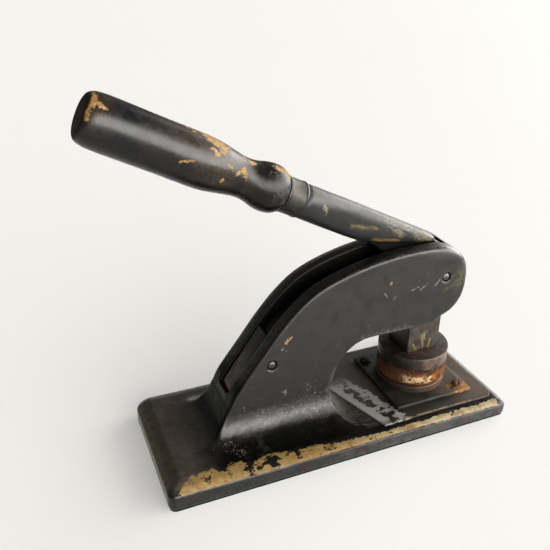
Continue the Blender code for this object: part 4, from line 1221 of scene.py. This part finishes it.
def handle_paint():
    g = Look("black_painted_wood")
    broad = g.noise(16, 4, shift=1)
    middle = g.noise(6, 5, 0.62, shift=2.3)
    fine = g.noise(1.4, 4, 0.62)
    grain = g.noise(1.1, 4, 0.6, (1, 1, 0.2), 3)
    flake = g.noise(3.4, 6, 0.68, shift=7.7)
    g.color = g.mix(g.ramp(broad, 0.35, 0.7), (0.0024, 0.0023, 0.0024), (0.005, 0.0044, 0.0041))
    rough = g.blend(g.ramp(middle, 0.3, 0.72), 0.2, 0.34)
    chips = g.strokes((at(-31.2, 13, 4), at(-31.4, 11.6, -7), 1.7, flake, 0.9),
                      (at(-31.4, 10.6, -9), at(-32.6, 2, -12.4), 1.8, flake, 0.9),
                      (at(-30, 10.6, -9.4), at(-25, 9.6, -11.4), 1.3, flake, 1.2),
                      (at(31, 14.8, -2), at(41, 12.6, -6), 4.8, flake, 1),
                      (at(36, 10.5, -10), at(38, 8.6, -12), 1.9, flake, 1.8),
                      (at(46, 6, -12.6), at(48, 5, -13), 1.6, flake, 1.8),
                      (at(20, 14.8, -2), at(24, 14.6, -3), 1.3, flake, 1.4),
                      (at(53, 4, -12.4), at(57, 5.5, -11), 2.6, flake, 1.9),
                      (at(45.2, -3.4, -14), at(45.8, -2.4, -14.2), 0.9, fine, 1.2),
                      (at(19, -1.2, -15.2), at(25.5, 1.8, -15.2), 0.7, fine, 1.6),
                      (at(56, 12, -3), at(62, 11, -4), 2.2, flake, 2),
                      (at(79, 13.6, -5.5), at(85, 12.4, -5), 3.4, flake, 1.5),
                      (at(33, 12, 9), at(48, 9, 10), 4, flake, 2),
                      (at(-28, -9, 11), at(-25, -3, 14.4), 2, flake, 1.8))
    wood = g.mix(g.ramp(grain, 0.3, 0.7), (0.18, 0.09, 0.018), (0.11, 0.043, 0.008))
    wood = g.mix(g.ramp(fine, 0.42, 0.64) * 0.85, wood, (0.245, 0.178, 0.07))
    wood = g.mix(g.ramp(flake, 0.5, 0.62) * 0.7, wood, (0.06, 0.034, 0.014))
    thin = g.strokes((at(18, 15, -1), at(52, 11.5, -6), 9, flake, 1.2, 2.2),
                     (at(30, 8, -12.6), at(46, 3, -14.3), 6.5, flake, 1.2, 2),
                     (at(-31, 12, -4), at(-29, 4, -13), 5, flake, 1, 1.8),
                     (at(52, 11, -4), at(62, 4, -11), 4, flake, 1.4, 1.6))
    g.coat(thin * g.ramp(fine, 0.28, 0.66) * 0.55, (0.06, 0.036, 0.016))
    g.coat(chips * g.ramp(grain, 0.25, 0.5, 0.25, 1), wood)
    scuff = g.ramp(middle, 0.6, 0.72) * g.ramp(fine, 0.45, 0.65) * 0.35
    g.coat(scuff, (0.03, 0.026, 0.022))
    dull = g.stroke(at(80, 6, -12), at(86, 0, -12), 7, middle, 1.2) * g.ramp(fine, 0.3, 0.7)
    g.coat(dull * 0.6, (0.038, 0.035, 0.032))
    dots = g.specks(7, 0.5, 0.25, 2.2)
    g.coat(dots * 0.7, (0.16, 0.115, 0.062))
    rough = g.blend(g.most(chips, dull), rough, 0.6)
    butt = g.faces((-ALONG[0], 0, -ALONG[1]), 0.45, 0.98)
    g.coat(butt * (1 - chips), (0.0095, 0.0066, 0.0054))
    rough = g.blend(butt, rough, 0.7)
    neck = g.ramp(g.split(g.along_handle())[0], AXIS_START[0] + 44, AXIS_START[0] + 56)
    gloss = g.blend(butt, g.blend(neck, 0.28, 0.2), 0.05)
    height = middle * 0.12 + fine * 0.03
    height = height - chips * 0.16
    return g.finish(rough, height, 0.55, Specular_IOR_Level=gloss)


def ferrule():
    profile = [(9.7, 89.4), (11.2, 89.4), (11.5, 89.6), (11.55, 90.0), (11.55, 90.6), (11.3, 90.9),
               (11.2, 91.4), (11.2, 101.0), (11.3, 101.3), (11.55, 101.6), (11.55, 102.4),
               (11.4, 102.8), (11.0, 103.0), (4.3, 103.0), (4.3, 101.9), (9.7, 101.9)]
    return shade(turned("ferrule_detailed", profile, 96, axis_place(), closed=True), 30.0)


# ------------------------------------------------------------------ spring and its block
SPRING_PATH = [(-47.5, 73.5), (-38.0, 84.0), (-27.0, 92.8), (-14.0, 99.6), (2.0, 105.2),
               (18.0, 109.8), (32.0, 115.0), (42.0, 120.6), (47.5, 121.9)]


def leaf_spring():
    path = smooth_curve(SPRING_PATH, 8)
    rings = []
    for (px, pz), tangent in zip(path, tangents(path)):
        ux, uz = px - tangent.y * 0.9, pz + tangent.x * 0.9
        lx, lz = px + tangent.y * 0.9, pz - tangent.x * 0.9
        rings.append([(ux, -5.6, uz), (ux, 5.6, uz), (0.5 * (ux + lx), 6.0, 0.5 * (uz + lz)),
                      (lx, 5.6, lz), (lx, -5.6, lz), (0.5 * (ux + lx), -6.0, 0.5 * (uz + lz))])
    return shade(loft("leaf_spring_detailed", rings), 35.0)


def spring_block():
    low, high = Vector((-72.4, 44.2)), Vector((-44.6, 83.6))
    along = (high - low).normalized()
    inward = Vector((along.y, -along.x))
    centre = low + inward * 5.0 + along * 5.0
    outline = [centre - inward * 5.0 * math.sin(a) - along * 5.0 * math.cos(a)
               for a in np.linspace(0.0, math.pi / 2, 13)]
    outline += [high, high + inward * 15.0, low + inward * 15.0 + along * 2.0, low + inward * 12.0]
    obj = slab_xz("spring_block_detailed", [(p.x, p.y) for p in outline], SLOT_HALF - 1.0)
    bevel(obj, 0.8, 3)
    hole = slab_xz("hole", circle(*SPRING_PIN, PIN_RADIUS + 0.3, 32), 12.0)
    boolean(obj, 'DIFFERENCE', hole)
    return shade(settle(obj, hole), 30.0)


def block_steel():
    """Dirty steel with brown rubs along the block."""
    g = Look("worn_block_steel", Metallic=0.3)
    _, y, z = g.xyz()
    middle = g.noise(5, 5, 0.62, shift=1.9)
    streak = g.noise(2.4, 5, 0.66, (0.6, 1.6, 0.35), 3.1)
    g.color = g.mix(g.ramp(middle, 0.32, 0.72), (0.0075, 0.0066, 0.006), (0.018, 0.015, 0.013))
    rubs = g.ramp(streak, 0.42, 0.58) * g.ramp(z, 76, 62, 0.3, 1)
    g.coat(rubs * 0.85, (0.115, 0.076, 0.05))
    g.coat(g.ramp(z, 66, 75, 0, 0.8), (0.0065, 0.0064, 0.0056))
    # painted shade: the sides of the block, down against the slot walls, darkened
    painted_light_rim = g.most(g.ramp(y, -5.6, -6.5), g.ramp(y, 5.6, 6.5))
    g.coat(painted_light_rim * 0.9, (0.003, 0.0026, 0.0022))
    height = middle * 0.12 + streak * 0.08
    return g.finish(g.blend(g.ramp(middle, 0.3, 0.7), 0.4, 0.6), height, 0.6)


def baize():
    g = Look("green_baize", Specular_IOR_Level=0.05)
    middle = g.noise(4, 4)
    fibre = g.noise(0.5, 4, 0.7)
    g.color = g.mix(g.ramp(middle, 0.3, 0.7), (0.002, 0.015, 0.0085), (0.0048, 0.0056, 0.0045))
    g.coat(g.ramp(fibre, 0.55, 0.75) * 0.5, (0.008, 0.016, 0.011))
    return g.finish(0.95, fibre * 0.3, 0.8)


# ------------------------------------------------------------------ put it together
def dress(obj, material):
    obj.data.materials.clear()
    obj.data.materials.append(material)


def paint(obj, material, body, slot, *nodes):
    """Give a piece its material and its body, and hide the plain nodes it stands in for; the slot
    is not used.
    """
    dress(obj, material)
    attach(obj, body)
    if nodes:
        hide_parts(*nodes)


def plain_steel(name, dark, light, **keys):
    g, rough, height, _, _ = steel(name, dark, light, **keys)
    return g.finish(rough, height, 0.5)


PIN_LOOK = plain_steel("filed_pin_steel", (0.04, 0.036, 0.035), (0.1, 0.09, 0.087), metallic=0.8,
                       rough=(0.28, 0.42))
paint(frame_casting(), japanned_iron(), "frame", "japanned_iron", "frame_casting")
paint(machined_pad(), pad_iron(), "frame", "japanned_iron")
paint(die_plate(), plate_steel(), "frame", "dark_steel", "die_plate")
paint(plate_screw("plate_screw_rear_detailed", -1, 0.5, 1.5, 0.3),
      plain_steel("dark_screw_steel", (0.0016, 0.0012, 0.001), (0.0045, 0.0032, 0.0024),
                  rough=(0.55, 0.8), metallic=0.9), "frame", "dark_screw", "plate_screw_rear")
paint(plate_screw("plate_screw_front_detailed", 1, 0.9, 2.2, 1.2),
      plain_steel("rusted_screw", (0.062, 0.022, 0.009), (0.145, 0.060, 0.022), metallic=0.1,
                  rough=(0.75, 0.9)), "frame", "rusty_screw", "plate_screw_front")
CENTRE = Matrix.Translation((RAM_X, 0.0, 0.0))
HEAD_PLACE = Matrix.Translation((RAM_X + 0.5, 0.0, 0.0))
paint(shade(turned("lower_die_detailed", disc_profile(24.9, PLATE_TOP + 0.05, 21.9, 0.1, 0.4), 128,
                   CENTRE)), die_iron(), "frame", "dark_steel", "lower_die")
paint(counter_die(), lining(), "ram", "rusty_lining", "counter_die")
paint(shade(turned("ram_head_detailed", disc_profile(HEAD_RADIUS, HEAD_LOW, HEAD_HIGH, 0.5, 0.45),
                   128, HEAD_PLACE)), head_steel(), "ram", "dark_steel", "ram_head")
paint(ram(), ram_steel(), "ram", "dark_steel", "ram")
for pin, centre in (("lever_pivot_pin", PIVOT), ("spring_pin", SPRING_PIN)):
    paint(domed_pin(pin + "_detailed", centre, 18.3, 1.3), PIN_LOOK, "frame", "pin_steel", pin)
paint(lever(), lever_paint(), "lever", "japanned_iron", "lever")
paint(handle(), handle_paint(), "lever", "black_wood", "handle")
paint(ferrule(),
      plain_steel("dull_ferrule_steel", (0.0155, 0.0136, 0.0112), (0.033, 0.0285, 0.0235),
                  rough=(0.36, 0.5)), "lever", "ferrule_steel", "ferrule")
paint(spring_block(), block_steel(), "frame", "spring_steel", "spring_block")
spring = leaf_spring()
spring.data.materials.append(plain_steel("spring_steel", (0.008, 0.007, 0.006),
                                         (0.02, 0.017, 0.015)))
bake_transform(spring)
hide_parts("leaf_spring")
for node, look in (("baize_pad", baize()), ("ram_link_pin", PIN_LOOK)):
    dress(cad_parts[node], look)


# ------------------------------------------------------------------ floor, light and camera
FLOOR_REACH = 9000.0
WARM_WHITE = (1.0, 0.985, 0.96)
FILL_STRENGTH = 2.6
LIGHT_AZIMUTH = -35.0                # degrees from +X toward +Y
LIGHT_SIDES = (0.02, 0.74)           # cosines where the light ends and is full
LIGHT_TOPS = (0.66, 0.36)            # heights (sine) where the light ends and is full
LIGHT_STRENGTH = 13.4
SURROUND, CEILING = 0.22, 0.12       # strengths of the light all round and overhead
DIM_TOPS = (0.75, 0.3)               # heights (sine) from the one to the other


def make_floor():
    outline = rectangle(-FLOOR_REACH, FLOOR_REACH, -FLOOR_REACH, FLOOR_REACH)
    floor = mesh_object("floor", [(x, y, 0) for x, y in outline], [(0, 1, 2, 3)])
    floor.location.z = -0.02 * MM
    g = Look("pale_paper")
    g.color = g.mix(g.noise(900.0, 2.0), (0.388, 0.385, 0.377), (0.396, 0.393, 0.385))
    floor.data.materials.append(g.finish(0.8))
    return floor


def make_floor_fill(floor):
    """Even light on the floor alone, so the shadows on it stay pale."""
    data = bpy.data.lights.new("floor_fill", 'SUN')
    data.energy = FILL_STRENGTH
    data.color = WARM_WHITE
    data.use_shadow = False
    lamp = bpy.data.objects.new("floor_fill", data)
    lamp.location.z = 2.0
    bpy.context.scene.collection.objects.link(lamp)
    lit = bpy.data.collections.new("floor_only")
    lit.objects.link(floor)
    lamp.light_linking.receiver_collection = lit


def make_world():
    """Pale light low from the front and the right, dim overhead and behind."""
    world = bpy.data.worlds.new("soft_studio")
    bpy.context.scene.world = world
    world.use_nodes = True
    g = Nodes(world.node_tree)
    dx, dy, dz = g.split(g.add('ShaderNodeTexCoord').outputs["Generated"])
    flat = g.math('SQRT', dx * dx + dy * dy)
    toward = math.radians(LIGHT_AZIMUTH)
    side = (dx * math.cos(toward) + dy * math.sin(toward)) / g.math('MAXIMUM', flat, 1e-4)
    glow = g.ramp(side, *LIGHT_SIDES) * g.ramp(dz, *LIGHT_TOPS) * LIGHT_STRENGTH
    dim = g.ramp(dz, *DIM_TOPS) * (SURROUND - CEILING)
    back = g.tree.nodes["Background"].inputs
    g.put(back["Color"], (*WARM_WHITE, 1.0), back["Strength"], glow + dim + CEILING)


def make_camera():
    data = bpy.data.cameras.new("camera")
    data.lens = 43.8904
    data.sensor_width = 36.0
    data.clip_start = 0.01
    data.clip_end = 60.0
    camera = bpy.data.objects.new("camera", data)
    camera.matrix_world = Matrix(((0.924752, 0.174853, -0.338024, -0.17856),
                                  (-0.38056, 0.431121, -0.818113, -0.345638),
                                  (0.00268, 0.88519, 0.465222, 0.318913),
                                  (0.0, 0.0, 0.0, 1.0)))
    bpy.context.scene.collection.objects.link(camera)
    bpy.context.scene.camera = camera


make_floor_fill(make_floor())
make_world()
make_camera()
bpy.context.scene.view_settings.view_transform = 'Standard'
